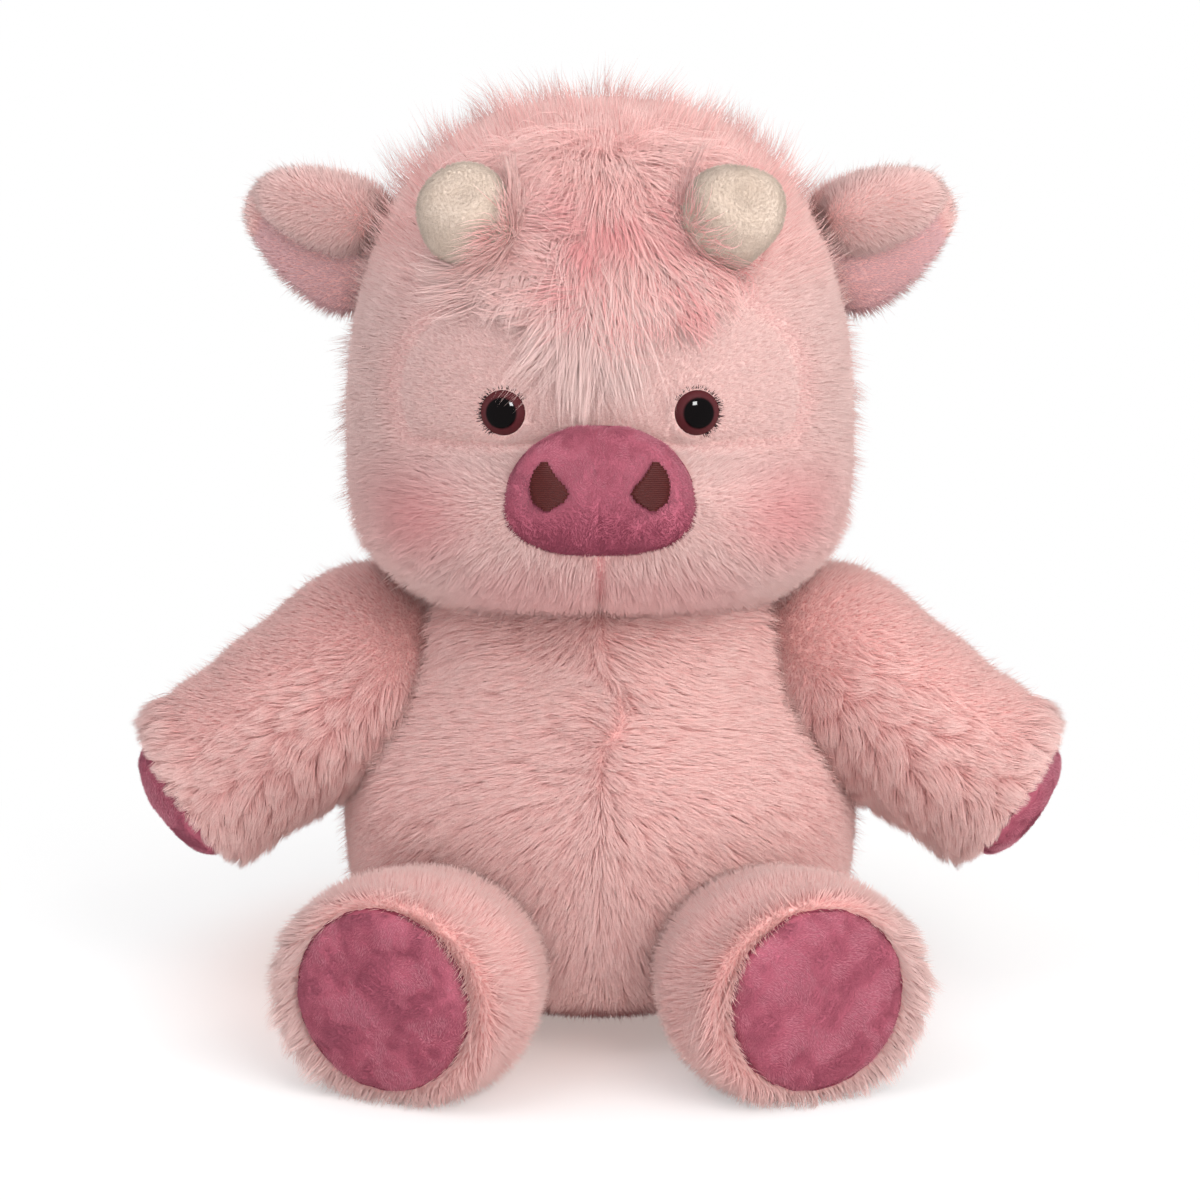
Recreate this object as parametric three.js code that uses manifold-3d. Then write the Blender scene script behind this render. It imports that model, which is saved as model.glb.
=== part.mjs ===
// A seated plush highland cow calf: sewn plush covers over fibre stuffing, with cloth joints at the
// neck, shoulders, hips, ears and tail. Sizes are in millimetres, +Z is up, the face looks along -Y
// and the origin is the centre of the flat seat panel. Left and right are the calf's own.
import * as THREE from 'three';
import { mergeVertices } from 'three/addons/utils/BufferGeometryUtils.js';
import Module from 'manifold-3d';

// Cloth and clearances
const SEAM_GAP = 0.3;
const JOINT_GAP = 0.5;
const PLUSH = 9;
const MUZZLE_PLUSH = 7;
const HORN_FLEECE = 3;
const PAD_VELOUR = 4;

// Body
const SEAT_RADIUS = 46;
const SEAT_SEAM = 3;
const BELLY_RADIUS = 76;
const BELLY_HEIGHT = 57;
const NECK_RADIUS = 56;
const NECK_HEIGHT = 98;
const BEAN_TOP = 24;
const WAD_THICKNESS = 8;
const WAD_SPREAD = radians(32);

// Arms
const ARM_BALL = 30.5;
const ARM_SEATING = 14;
const ARM_GIRTH = 31;
const ARM_GIRTH_AT = 10;
const ARM_WRIST = 23;
const ARM_LENGTH = 57;
const ARM_PAD_RADIUS = 19.5;
const ARM_PAD_DOME = 6;
const ARM_HEIGHT = 93;
const ARM_BEARING = radians(86);
const ARM_FORWARD = radians(8);
const ARM_DROOP = radians(34);

// Legs
const LEG_BALL = 29;
const LEG_SEATING = 12;
const LEG_GIRTH = 31.5;
const LEG_GIRTH_AT = 13;
const LEG_WRIST = 29.5;
const LEG_LENGTH = 31;
const LEG_PAD_RADIUS = 26.8;
const LEG_PAD_DOME = 5;
const LEG_FLAT = 1.5;
const LEG_BEARING = radians(31.5);
const LEG_SPLAY = radians(22);

// Tail
const TAIL_BALL = 8;
const TAIL_SEATING = 3;
const TAIL_HEIGHT = 42;
const TAIL_LENGTH = 23;
const TAIL_TIP = 5;
const TAIL_LEAN = radians(34);
const TUFT_RADIUS = 10;
const TUFT_LENGTH = 20;

// Head
const HEAD_HALF_WIDTH = 73;
const HEAD_HALF_DEPTH = 62;
const HEAD_RISE = 102;
const HEAD_DROP = 46;
const HEAD_LIFT = 66;
const HEAD_FORWARD = 4;
const HEAD_FULLNESS = 2.5;

// Face, measured from the centre of the head
const FACE_HALF_WIDTH = 55;
const FACE_SEAM = 12;
const FACE_TOP = 52;
const MUZZLE_HALF_WIDTH = 63;
const MUZZLE_HALF_HEIGHT = 25;
const MUZZLE_REACH = 47;
const MUZZLE_BACK = 20;
const MUZZLE_PROUD = 15;
const MUZZLE_LOW = 10;
const NOSE_HALF_WIDTH = 25.5;
const NOSE_HALF_HEIGHT = 17.5;
const NOSE_DEPTH = 10;
const NOSE_SEATING = 7;
const NOSE_RISE = 0.5;
const NOSE_TILT = radians(14);
const NOSE_NARROWING = 0.18;
const NOSTRIL_SPACING = 27;
const NOSTRIL_RISE = 3.6;
const NOSTRIL_WIDTH = 10.5;
const NOSTRIL_HEIGHT = 12.8;
const NOSTRIL_THREAD = 1;
const EYE_RADIUS = 6.3;
const EYE_DOME = 5;
const EYE_SINK = 2;
const EYE_SPACING = 54;
const EYE_RISE = 20.5;
const EYE_STEM_RADIUS = 1.8;
const EYE_STEM_LENGTH = 12;
const WASHER_RADIUS = 5.5;
const WASHER_THICKNESS = 1.6;
const WASHER_PRESS = 0.5;

// Horns, forelock and ears, measured from the centre of the head
const HORN_RADIUS = 13.8;
const HORN_LENGTH = 19;
const HORN_ROOT = 14;
const HORN_SPACING = 68;
const HORN_RISE = 70;
const HORN_SPLAY = radians(28);
const HORN_LOOK_UP = radians(43);
const FORELOCK_PILE = 6;
const FORELOCK_HALF_WIDTH = 60;
const FORELOCK_HALF_DEPTH = 48;
const FORELOCK_TIP = 26;
const FORELOCK_FRINGE = 40;
const FORELOCK_WIDEST = 52;
const EAR_LENGTH = 38;
const EAR_HALF_WIDTH = 22;
const EAR_NARROWING = 0.4;
const EAR_SWEEP = radians(5);
const EAR_HALF_THICKNESS = 6;
const EAR_ROOT_RADIUS = 7.5;
const EAR_ROOT_LENGTH = 26;
const EAR_STANDOFF = 1.5;
const EAR_RISE = 57;
const EAR_TILT = radians(20);
const EAR_ROLL_RADIUS = 7;
const EAR_ROLL_HALF_WIDTH = 10;
const EAR_LINING = 1.6;
const EAR_BORDER = 4;

// Facets round a form
const FINE = 36;
const MEDIUM = 20;
const COARSE = 14;

const plushPink = { color: 0xe3b3af, roughness: 0.95, metalness: 0 };
const plushPale = { color: 0xe9c9c2, roughness: 0.95, metalness: 0 };
const velourRose = { color: 0xa65a70, roughness: 0.85, metalness: 0 };
const fleeceCream = { color: 0xe6d6c6, roughness: 0.95, metalness: 0 };
const threadBrown = { color: 0x5a2420, roughness: 0.8, metalness: 0 };
const eyeBlack = { color: 0x140808, roughness: 0.08, metalness: 0 };
const washerClear = { color: 0xd8d8d8, roughness: 0.4, metalness: 0 };
const fibreWhite = { color: 0xf4f2ee, roughness: 1, metalness: 0 };
const beanBagCloth = { color: 0xcfc6ba, roughness: 0.9, metalness: 0 };

const wasm = await Module();
wasm.setup();

const UP = new THREE.Vector3(0, 0, 1);
const FAR = 400;
const neckCentre = new THREE.Vector3(0, 0, NECK_HEIGHT);
const headCentre = new THREE.Vector3(0, -HEAD_FORWARD, NECK_HEIGHT + HEAD_LIFT);
const muzzleFront = HEAD_HALF_DEPTH + MUZZLE_PROUD;
const muzzleForward = muzzleFront - MUZZLE_REACH;
const noseForward = muzzleFront - NOSE_SEATING;

function radians(degrees) {
  return THREE.MathUtils.degToRad(degrees);
}

// Solids and meshes

function toSolid(geometry) {
  const bare = geometry.clone();
  bare.deleteAttribute('normal');
  bare.deleteAttribute('uv');
  const welded = mergeVertices(bare, 1e-4);
  const corners = welded.index.array;
  const triangles = [];
  for (let i = 0; i < corners.length; i += 3) {
    const [a, b, c] = corners.slice(i, i + 3);
    if (a !== b && b !== c && c !== a) {
      triangles.push(a, b, c);
    }
  }
  return new wasm.Manifold(new wasm.Mesh({
    numProp: 3,
    vertProperties: new Float32Array(welded.attributes.position.array),
    triVerts: new Uint32Array(triangles),
  }));
}

function toGeometry(solid) {
  const { vertProperties, triVerts } = solid.getMesh();
  const geometry = new THREE.BufferGeometry();
  geometry.setAttribute('position', new THREE.BufferAttribute(vertProperties, 3));
  geometry.setIndex(new THREE.BufferAttribute(triVerts, 1));
  geometry.computeVertexNormals();
  return geometry;
}

// A group whose own origin is the point that it turns about, given in the calf's frame.
function jointedGroup(name, parent, pivot) {
  const group = new THREE.Group();
  group.name = name;
  group.position.copy(pivot).sub(parent.userData.pivot);
  group.userData.pivot = pivot;
  parent.add(group);
  return group;
}

function jointedPair(stem, parent, leftPivot) {
  const rightPivot = leftPivot.clone().setX(-leftPivot.x);
  return {
    left: jointedGroup(`${stem}_left_joint`, parent, leftPivot),
    right: jointedGroup(`${stem}_right_joint`, parent, rightPivot),
  };
}

// Adds a solid, made in the calf's frame, to a group as a mesh in the group's own frame.
function addPiece(group, name, solid, finish) {
  const { x, y, z } = group.userData.pivot;
  const geometry = toGeometry(solid).translate(-x, -y, -z);
  const mesh = new THREE.Mesh(geometry, new THREE.MeshStandardMaterial(finish));
  mesh.name = name;
  group.add(mesh);
}

// One piece on the left and its mirror image on the right.
function addPair(groups, stem, leftSolid, finish) {
  addPiece(groups.left, `${stem}_left`, leftSolid, finish);
  addPiece(groups.right, `${stem}_right`, leftSolid.mirror([1, 0, 0]), finish);
}

// A pair whose two pieces are each trimmed by what they press on.
function addTrimmedPair(groups, stem, leftSolid, press, finish) {
  addPiece(groups.left, `${stem}_left`, leftSolid.subtract(press), finish);
  addPiece(groups.right, `${stem}_right`, leftSolid.mirror([1, 0, 0]).subtract(press), finish);
}

// The two halves of a piece with a seam down its middle.
function addHalves(group, stem, solid, finish) {
  addPiece(group, `${stem}_left`, solid.intersect(halfSpace('x', 1, SEAM_GAP / 2)), finish);
  addPiece(group, `${stem}_right`, solid.intersect(halfSpace('x', -1, -SEAM_GAP / 2)), finish);
}

function bothSides(leftSolid) {
  return leftSolid.add(leftSolid.mirror([1, 0, 0]));
}

function revolveGeometry(path, steps, segments) {
  return new THREE.LatheGeometry(path.getPoints(steps), segments).rotateX(Math.PI / 2);
}

function revolve(path, steps, segments) {
  return toSolid(revolveGeometry(path, steps, segments));
}

// A ball whose flats, and not its corners, lie at the radius or beyond it.
function ball(centre, radius, segments) {
  const corner = radius / Math.cos(Math.PI / segments) ** 2;
  const geometry = new THREE.SphereGeometry(corner, segments, segments / 2);
  return toSolid(geometry.translate(centre.x, centre.y, centre.z));
}

function block(low, high) {
  const size = high.clone().sub(low);
  const middle = low.clone().add(high).multiplyScalar(0.5);
  const geometry = new THREE.BoxGeometry(size.x, size.y, size.z);
  return toSolid(geometry.translate(middle.x, middle.y, middle.z));
}

// The half of space beyond a plane square to one axis, on the side that the sign says.
function halfSpace(axis, sign, start) {
  const low = new THREE.Vector3(-FAR, -FAR, -FAR);
  const high = new THREE.Vector3(FAR, FAR, FAR);
  if (sign > 0) {
    low[axis] = start;
  } else {
    high[axis] = start;
  }
  return block(low, high);
}

// Carries a form drawn along +Z to a place and a direction.
function placing(origin, direction) {
  const turn = new THREE.Quaternion().setFromUnitVectors(UP, direction.clone().normalize());
  return new THREE.Matrix4().compose(origin, turn, new THREE.Vector3(1, 1, 1));
}

function placed(path, steps, segments, matrix) {
  return toSolid(revolveGeometry(path, steps, segments).applyMatrix4(matrix));
}

// A padded form: a superellipsoid whose reach may differ on the two sides of an axis.
function pillow(reach, fullness, columns, rows) {
  const geometry = new THREE.SphereGeometry(1, columns, rows).rotateX(Math.PI / 2);
  const places = geometry.attributes.position;
  const spot = new THREE.Vector3();
  for (let i = 0; i < places.count; i++) {
    spot.fromBufferAttribute(places, i);
    const across = Math.abs(spot.x) / (spot.x > 0 ? reach.outer ?? reach.side : reach.side);
    const along = Math.abs(spot.y) / (spot.y > 0 ? reach.back : reach.front);
    const upright = Math.abs(spot.z) / (spot.z > 0 ? reach.up : reach.down);
    const powers = across ** fullness + along ** fullness + upright ** fullness;
    spot.multiplyScalar(powers ** (-1 / fullness));
    places.setXYZ(i, spot.x, spot.y, spot.z);
  }
  return geometry;
}

// An outline in the face's XZ plane, given from the head's centre, cut straight back along Y.
function facePrism(outline, back) {
  const geometry = new THREE.ExtrudeGeometry(outline, { depth: FAR, bevelEnabled: false, curveSegments: 8 });
  geometry.rotateX(Math.PI / 2);
  return toSolid(geometry.translate(headCentre.x, headCentre.y + back, headCentre.z));
}

// Body

function bodyPath(inset) {
  const neck = NECK_RADIUS - inset;
  const belly = BELLY_RADIUS - inset;
  const seat = SEAT_RADIUS - inset;
  const shoulder = radians(10);
  const top = new THREE.Vector2(neck * Math.cos(shoulder), NECK_HEIGHT + neck * Math.sin(shoulder));
  const fall = (top.y - BELLY_HEIGHT) * 0.42;
  const path = new THREE.Path();
  path.moveTo(0, inset);
  path.lineTo(seat, inset);
  path.bezierCurveTo(
    seat + (belly - seat) * 0.7, inset,
    belly, inset + (BELLY_HEIGHT - inset) * 0.4,
    belly, BELLY_HEIGHT,
  );
  path.bezierCurveTo(
    belly, BELLY_HEIGHT + fall,
    top.x + fall * Math.sin(shoulder), top.y - fall * Math.cos(shoulder),
    top.x, top.y,
  );
  path.absarc(0, NECK_HEIGHT, neck, shoulder, Math.PI / 2, false);
  return path;
}

function bodyRadiusAt(height) {
  const points = bodyPath(0).getPoints(60);
  const above = points.findIndex((point) => point.y > height);
  const [low, high] = [points[above - 1], points[above]];
  return THREE.MathUtils.mapLinear(height, low.y, high.y, low.x, high.x);
}

// The centre of a limb's ball, let into the body by its seating; bearing turns from the front.
function ballCentre(radius, seating, height, bearing) {
  const distance = bodyRadiusAt(height) + radius - seating;
  return new THREE.Vector3(distance * Math.sin(bearing), -distance * Math.cos(bearing), height);
}

const legHeight = LEG_GIRTH - LEG_FLAT;
const shoulder = ballCentre(ARM_BALL, ARM_SEATING, ARM_HEIGHT, ARM_BEARING);
const hip = ballCentre(LEG_BALL, LEG_SEATING, legHeight, LEG_BEARING);
const tailRoot = ballCentre(TAIL_BALL, TAIL_SEATING, TAIL_HEIGHT, Math.PI);

function limbSockets() {
  const arms = bothSides(ball(shoulder, ARM_BALL + JOINT_GAP, MEDIUM));
  const legs = bothSides(ball(hip, LEG_BALL + JOINT_GAP, MEDIUM));
  return arms.add(legs).add(ball(tailRoot, TAIL_BALL + JOINT_GAP, COARSE));
}

// A plain drum about the axis.
function drumPath(radius, low, high) {
  const path = new THREE.Path();
  path.moveTo(0, low);
  path.lineTo(radius, low);
  path.lineTo(radius, high);
  path.lineTo(0, high);
  return path;
}

function addBody(body) {
  const seatRadius = SEAT_RADIUS - SEAT_SEAM;
  const opening = revolve(drumPath(seatRadius + SEAM_GAP, -PLUSH, 2 * PLUSH), 1, FINE);
  const sockets = limbSockets();
  const cover = revolve(bodyPath(0), 4, FINE)
    .subtract(revolve(bodyPath(PLUSH), 2, MEDIUM))
    .subtract(opening)
    .subtract(sockets);
  for (const [end, sign] of [['front', -1], ['back', 1]]) {
    addHalves(body, `body_${end}`, cover.intersect(halfSpace('y', sign, (sign * SEAM_GAP) / 2)), plushPink);
  }
  addPiece(body, 'seat_panel', revolve(drumPath(seatRadius, 0, PLUSH), 1, FINE), plushPink);
  const filling = revolve(bodyPath(PLUSH + SEAM_GAP), 2, MEDIUM).subtract(sockets);
  addPiece(body, 'bean_bag', filling.intersect(halfSpace('z', -1, BEAN_TOP)), beanBagCloth);
  addPiece(body, 'body_stuffing', filling.intersect(halfSpace('z', 1, BEAN_TOP + SEAM_GAP)), fibreWhite);
}

// Limbs

// Cover, pad and stuffing of a limb along +Z: a ball root, a swelling tube and a padded end.
function limb({ root, girth, girthAt, wrist, length, padRadius, padDome }) {
  const opening = padRadius + SEAM_GAP;
  const ledge = length - PAD_VELOUR;
  const turn = length - PAD_VELOUR * 1.5;
  const swell = (girthAt + turn) / 2;
  const cover = new THREE.Path();
  cover.absarc(0, 0, root, -Math.PI / 2, 0, false);
  cover.bezierCurveTo(root, girthAt / 2, girth, girthAt / 2, girth, girthAt);
  cover.bezierCurveTo(girth, swell, wrist, swell, wrist, turn);
  cover.quadraticCurveTo(wrist, length, opening, length);
  cover.lineTo(opening, ledge);
  cover.lineTo(wrist - PLUSH, ledge);
  cover.lineTo(root - PLUSH, 0);
  cover.quadraticCurveTo(root - PLUSH, PLUSH - root, 0, PLUSH - root);

  const pad = new THREE.Path();
  pad.moveTo(0, ledge + SEAM_GAP);
  pad.lineTo(padRadius, ledge + SEAM_GAP);
  pad.lineTo(padRadius, length);
  pad.bezierCurveTo(
    padRadius, length + padDome * 0.7,
    padRadius * 0.5, length + padDome,
    0, length + padDome,
  );

  const fill = root - PLUSH - SEAM_GAP;
  const stuffing = new THREE.Path();
  stuffing.moveTo(0, -fill);
  stuffing.quadraticCurveTo(fill, -fill, fill, 0);
  stuffing.lineTo(wrist - PLUSH - SEAM_GAP, ledge);
  stuffing.lineTo(0, ledge);
  return { cover, pad, stuffing };
}

// Places a limb's three pieces and trims them where they press on the body or the floor.
function addLimb(groups, stem, size, matrix, press) {
  const { cover, pad, stuffing } = limb(size);
  addTrimmedPair(groups, `${stem}_cover`, placed(cover, 2, MEDIUM, matrix), press, plushPink);
  addTrimmedPair(groups, `${stem}_pad`, placed(pad, 3, MEDIUM, matrix), press, velourRose);
  addTrimmedPair(groups, `${stem}_stuffing`, placed(stuffing, 2, COARSE, matrix), press, fibreWhite);
}

function addArms(arms) {
  const direction = new THREE.Vector3(
    Math.cos(ARM_DROOP) * Math.cos(ARM_FORWARD),
    -Math.cos(ARM_DROOP) * Math.sin(ARM_FORWARD),
    -Math.sin(ARM_DROOP),
  );
  const roots = bothSides(ball(shoulder, ARM_BALL, FINE));
  const press = revolve(bodyPath(-JOINT_GAP), 4, FINE).subtract(roots);
  const size = {
    root: ARM_BALL,
    girth: ARM_GIRTH,
    girthAt: ARM_GIRTH_AT,
    wrist: ARM_WRIST,
    length: ARM_LENGTH,
    padRadius: ARM_PAD_RADIUS,
    padDome: ARM_PAD_DOME,
  };
  addLimb(arms, 'arm', size, placing(shoulder, direction), press);
}

function addLegs(legs) {
  const direction = new THREE.Vector3(Math.sin(LEG_SPLAY), -Math.cos(LEG_SPLAY), 0);
  const size = {
    root: LEG_BALL,
    girth: LEG_GIRTH,
    girthAt: LEG_GIRTH_AT,
    wrist: LEG_WRIST,
    length: LEG_LENGTH,
    padRadius: LEG_PAD_RADIUS,
    padDome: LEG_PAD_DOME,
  };
  addLimb(legs, 'leg', size, placing(hip, direction), halfSpace('z', -1, 0));
}

function addTail(tail) {
  const matrix = placing(tailRoot, new THREE.Vector3(0, Math.sin(TAIL_LEAN), -Math.cos(TAIL_LEAN)));
  const cord = new THREE.Path();
  cord.absarc(0, 0, TAIL_BALL, -Math.PI / 2, 0, false);
  cord.quadraticCurveTo(TAIL_BALL, TAIL_LENGTH / 2, TAIL_TIP, TAIL_LENGTH);
  cord.lineTo(0, TAIL_LENGTH);
  addPiece(tail, 'tail', placed(cord, 2, COARSE, matrix), plushPink);

  const start = TAIL_LENGTH + SEAM_GAP;
  const tuft = new THREE.Path();
  tuft.moveTo(0, start);
  tuft.lineTo(TAIL_TIP, start);
  tuft.bezierCurveTo(
    TUFT_RADIUS * 1.3, start + TUFT_LENGTH * 0.3,
    TUFT_RADIUS, start + TUFT_LENGTH * 0.8,
    0, start + TUFT_LENGTH,
  );
  addPiece(tail, 'tail_tuft', placed(tuft, 5, COARSE, matrix), plushPale);
}

// Neck

// A cap of the round between two distances from the neck's centre, out to a spread from the top.
function capPath(inner, outer, spread) {
  const path = new THREE.Path();
  path.absarc(0, NECK_HEIGHT, inner, Math.PI / 2, Math.PI / 2 - spread, true);
  path.absarc(0, NECK_HEIGHT, outer, Math.PI / 2 - spread, Math.PI / 2, false);
  return path;
}

function addNeck(neck) {
  const inner = NECK_RADIUS + JOINT_GAP;
  const wad = revolve(capPath(inner, inner + WAD_THICKNESS, WAD_SPREAD), 2, MEDIUM);
  addPiece(neck, 'neck_wad', wad, fibreWhite);
}

// The hollow under the head: the body's rounded top and the pocket of the neck wad.
function neckHollow() {
  const inner = NECK_RADIUS + JOINT_GAP;
  const slack = 2 * JOINT_GAP;
  const spread = WAD_SPREAD + slack / inner;
  const pocket = revolve(capPath(NECK_RADIUS, inner + WAD_THICKNESS + slack, spread), 2, MEDIUM);
  return ball(neckCentre, inner, MEDIUM).add(pocket);
}

// Head

function headForm(growth, columns, rows) {
  const reach = {
    side: HEAD_HALF_WIDTH + growth,
    front: HEAD_HALF_DEPTH + growth,
    back: HEAD_HALF_DEPTH + growth,
    up: HEAD_RISE + growth,
    down: HEAD_DROP + growth,
  };
  const form = pillow(reach, HEAD_FULLNESS, columns, rows);
  return toSolid(form.translate(headCentre.x, headCentre.y, headCentre.z));
}

// The point of the head's front that lies at a distance to the left and a rise above its centre.
function faceSpot(left, rise) {
  const across = (left / HEAD_HALF_WIDTH) ** HEAD_FULLNESS;
  const upright = (rise / HEAD_RISE) ** HEAD_FULLNESS;
  const depth = HEAD_HALF_DEPTH * (1 - across - upright) ** (1 / HEAD_FULLNESS);
  return new THREE.Vector3(left, -depth, rise).add(headCentre);
}

// The way that the head's front faces at such a point.
function faceNormal(left, rise) {
  const spot = faceSpot(left, rise).sub(headCentre);
  const power = HEAD_FULLNESS - 1;
  return new THREE.Vector3(
    (spot.x / HEAD_HALF_WIDTH) ** power / HEAD_HALF_WIDTH,
    -((-spot.y / HEAD_HALF_DEPTH) ** power) / HEAD_HALF_DEPTH,
    (spot.z / HEAD_RISE) ** power / HEAD_RISE,
  ).normalize();
}

function faceOutline(growth) {
  const half = FACE_HALF_WIDTH + growth;
  const seam = FACE_SEAM - growth;
  const top = FACE_TOP + growth;
  const bend = (seam + top) / 2;
  const outline = new THREE.Shape();
  outline.moveTo(-half, seam);
  outline.lineTo(half, seam);
  outline.bezierCurveTo(half, bend, half * 0.9, top, half * 0.6, top);
  outline.lineTo(-half * 0.6, top);
  outline.bezierCurveTo(-half * 0.9, top, -half, bend, -half, seam);
  return outline;
}

const eyeMatrix = (() => {
  const left = EYE_SPACING / 2;
  const normal = faceNormal(left, EYE_RISE);
  return placing(faceSpot(left, EYE_RISE).addScaledVector(normal, -EYE_SINK), normal);
})();

function eyePath(growth) {
  const path = new THREE.Path();
  path.moveTo(0, -EYE_STEM_LENGTH - growth);
  path.lineTo(EYE_STEM_RADIUS + growth, -EYE_STEM_LENGTH - growth);
  path.lineTo(EYE_STEM_RADIUS + growth, -growth);
  path.lineTo(EYE_RADIUS + growth, -growth);
  return path;
}

function eyeSolid() {
  const path = eyePath(0);
  path.absellipse(0, 0, EYE_RADIUS, EYE_DOME, 0, Math.PI / 2, false, 0);
  return placed(path, 2, MEDIUM, eyeMatrix);
}

function eyeSocket() {
  const path = eyePath(SEAM_GAP);
  path.lineTo(EYE_RADIUS + SEAM_GAP, 4 * EYE_DOME);
  path.lineTo(0, 4 * EYE_DOME);
  return placed(path, 1, MEDIUM, eyeMatrix);
}

// A ring pushed onto the stem and a little way into the back of the face panel.
const washerTop = EYE_SINK - PLUSH + WASHER_PRESS;

function washerSolid() {
  const low = washerTop - WASHER_THICKNESS;
  const bore = EYE_STEM_RADIUS + SEAM_GAP;
  const path = new THREE.Path();
  path.moveTo(bore, low);
  path.lineTo(WASHER_RADIUS, low);
  path.lineTo(WASHER_RADIUS, washerTop);
  path.lineTo(bore, washerTop);
  path.lineTo(bore, low);
  return placed(path, 1, MEDIUM, eyeMatrix);
}

function washerPocket() {
  const pocket = drumPath(WASHER_RADIUS + SEAM_GAP, -EYE_STEM_LENGTH - SEAM_GAP, washerTop + SEAM_GAP);
  return placed(pocket, 1, MEDIUM, eyeMatrix);
}

function hornPath(inset) {
  const radius = HORN_RADIUS - inset;
  const tip = HORN_LENGTH - inset;
  const path = new THREE.Path();
  path.moveTo(0, -HORN_ROOT);
  path.lineTo(radius, -HORN_ROOT);
  path.lineTo(radius, 0);
  path.bezierCurveTo(radius, tip * 0.6, radius * 0.75, tip, 0, tip);
  return path;
}

function hornForm(inset) {
  const direction = new THREE.Vector3(
    Math.sin(HORN_SPLAY) * Math.cos(HORN_LOOK_UP),
    -Math.cos(HORN_SPLAY) * Math.cos(HORN_LOOK_UP),
    Math.sin(HORN_LOOK_UP),
  );
  return placed(hornPath(inset), 4, COARSE, placing(faceSpot(HORN_SPACING / 2, HORN_RISE), direction));
}

function addHorns(head, scalp) {
  const both = { left: head, right: head };
  addTrimmedPair(both, 'horn', hornForm(0).subtract(hornForm(HORN_FLEECE)), scalp, fleeceCream);
  addTrimmedPair(both, 'horn_stuffing', hornForm(HORN_FLEECE + SEAM_GAP), scalp, fibreWhite);
}

// A tuft over the crown, thickest on the brow and thinning to nothing at the sides and the back.
function addForelock(head, scalp) {
  const reach = {
    side: FORELOCK_HALF_WIDTH,
    front: HEAD_HALF_DEPTH + SEAM_GAP + FORELOCK_PILE,
    back: FORELOCK_HALF_DEPTH,
    up: HEAD_RISE + SEAM_GAP + FORELOCK_PILE,
    down: HEAD_DROP,
  };
  const form = pillow(reach, HEAD_FULLNESS, FINE, MEDIUM).translate(headCentre.x, headCentre.y, headCentre.z);
  const outline = new THREE.Shape();
  outline.moveTo(0, FORELOCK_TIP);
  outline.quadraticCurveTo(FORELOCK_FRINGE * 0.6, FORELOCK_TIP, FORELOCK_FRINGE, FORELOCK_WIDEST);
  outline.lineTo(FORELOCK_HALF_WIDTH, 2 * HEAD_RISE);
  outline.lineTo(-FORELOCK_HALF_WIDTH, 2 * HEAD_RISE);
  outline.lineTo(-FORELOCK_FRINGE, FORELOCK_WIDEST);
  outline.quadraticCurveTo(-FORELOCK_FRINGE * 0.6, FORELOCK_TIP, 0, FORELOCK_TIP);
  const hair = toSolid(form)
    .intersect(facePrism(outline, HEAD_HALF_DEPTH))
    .subtract(scalp)
    .subtract(bothSides(hornForm(-SEAM_GAP)));
  addPiece(head, 'forelock', hair, plushPink);
}

// Ears, drawn with X out along the ear, Z along the line that they are sewn on and -Y to the front

const earMatrix = (() => {
  const across = HEAD_HALF_WIDTH * (1 - (EAR_RISE / HEAD_RISE) ** HEAD_FULLNESS) ** (1 / HEAD_FULLNESS);
  const outward = new THREE.Vector3(Math.cos(EAR_TILT), 0, Math.sin(EAR_TILT));
  const sewn = new THREE.Vector3(-Math.sin(EAR_TILT), 0, Math.cos(EAR_TILT));
  const root = new THREE.Vector3(across, 0, EAR_RISE).add(headCentre);
  root.addScaledVector(outward, EAR_STANDOFF);
  const matrix = new THREE.Matrix4().makeBasis(outward, new THREE.Vector3(0, 1, 0), sewn);
  return matrix.setPosition(root);
})();

function earRoot(growth) {
  const half = EAR_ROOT_LENGTH / 2;
  const radius = EAR_ROOT_RADIUS + growth;
  const path = new THREE.Path();
  path.absarc(0, -half, radius, -Math.PI / 2, 0, false);
  path.absarc(0, half, radius, 0, Math.PI / 2, false);
  return placed(path, 2, COARSE, earMatrix);
}

// The flat leaf of the ear, before it is drawn to its outline.
function earLeaf(growth, border) {
  const middle = EAR_LENGTH / 3;
  const half = EAR_HALF_WIDTH + growth - border;
  const thick = EAR_HALF_THICKNESS + growth;
  const reach = {
    side: middle + growth - border,
    outer: EAR_LENGTH - middle + growth - border,
    front: thick,
    back: thick,
    up: half,
    down: half,
  };
  return toSolid(pillow(reach, 2.6, MEDIUM, MEDIUM / 2).translate(middle, 0, 0));
}

// The ear's upper edge, rolled over to the front.
function earRoll(growth) {
  const radius = EAR_ROLL_RADIUS + growth;
  const half = EAR_ROLL_HALF_WIDTH + growth;
  const long = EAR_LENGTH / 2 - EAR_BORDER / 2 + growth;
  const reach = { side: long, front: radius, back: radius, up: half, down: half };
  const form = pillow(reach, 2.4, MEDIUM, MEDIUM / 2);
  return toSolid(form.translate(EAR_LENGTH / 2, -EAR_HALF_THICKNESS, EAR_ROLL_HALF_WIDTH));
}

// Narrows a flat ear towards its tip, sweeps it up and carries it to the head.
function drawnEar(flatSolid) {
  const geometry = toGeometry(flatSolid);
  const places = geometry.attributes.position;
  for (let i = 0; i < places.count; i++) {
    const out = places.getX(i);
    const narrowed = places.getZ(i) * (1 - (EAR_NARROWING * out) / EAR_LENGTH);
    places.setZ(i, narrowed + out * Math.tan(EAR_SWEEP));
  }
  return toSolid(geometry.applyMatrix4(earMatrix));
}

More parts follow.
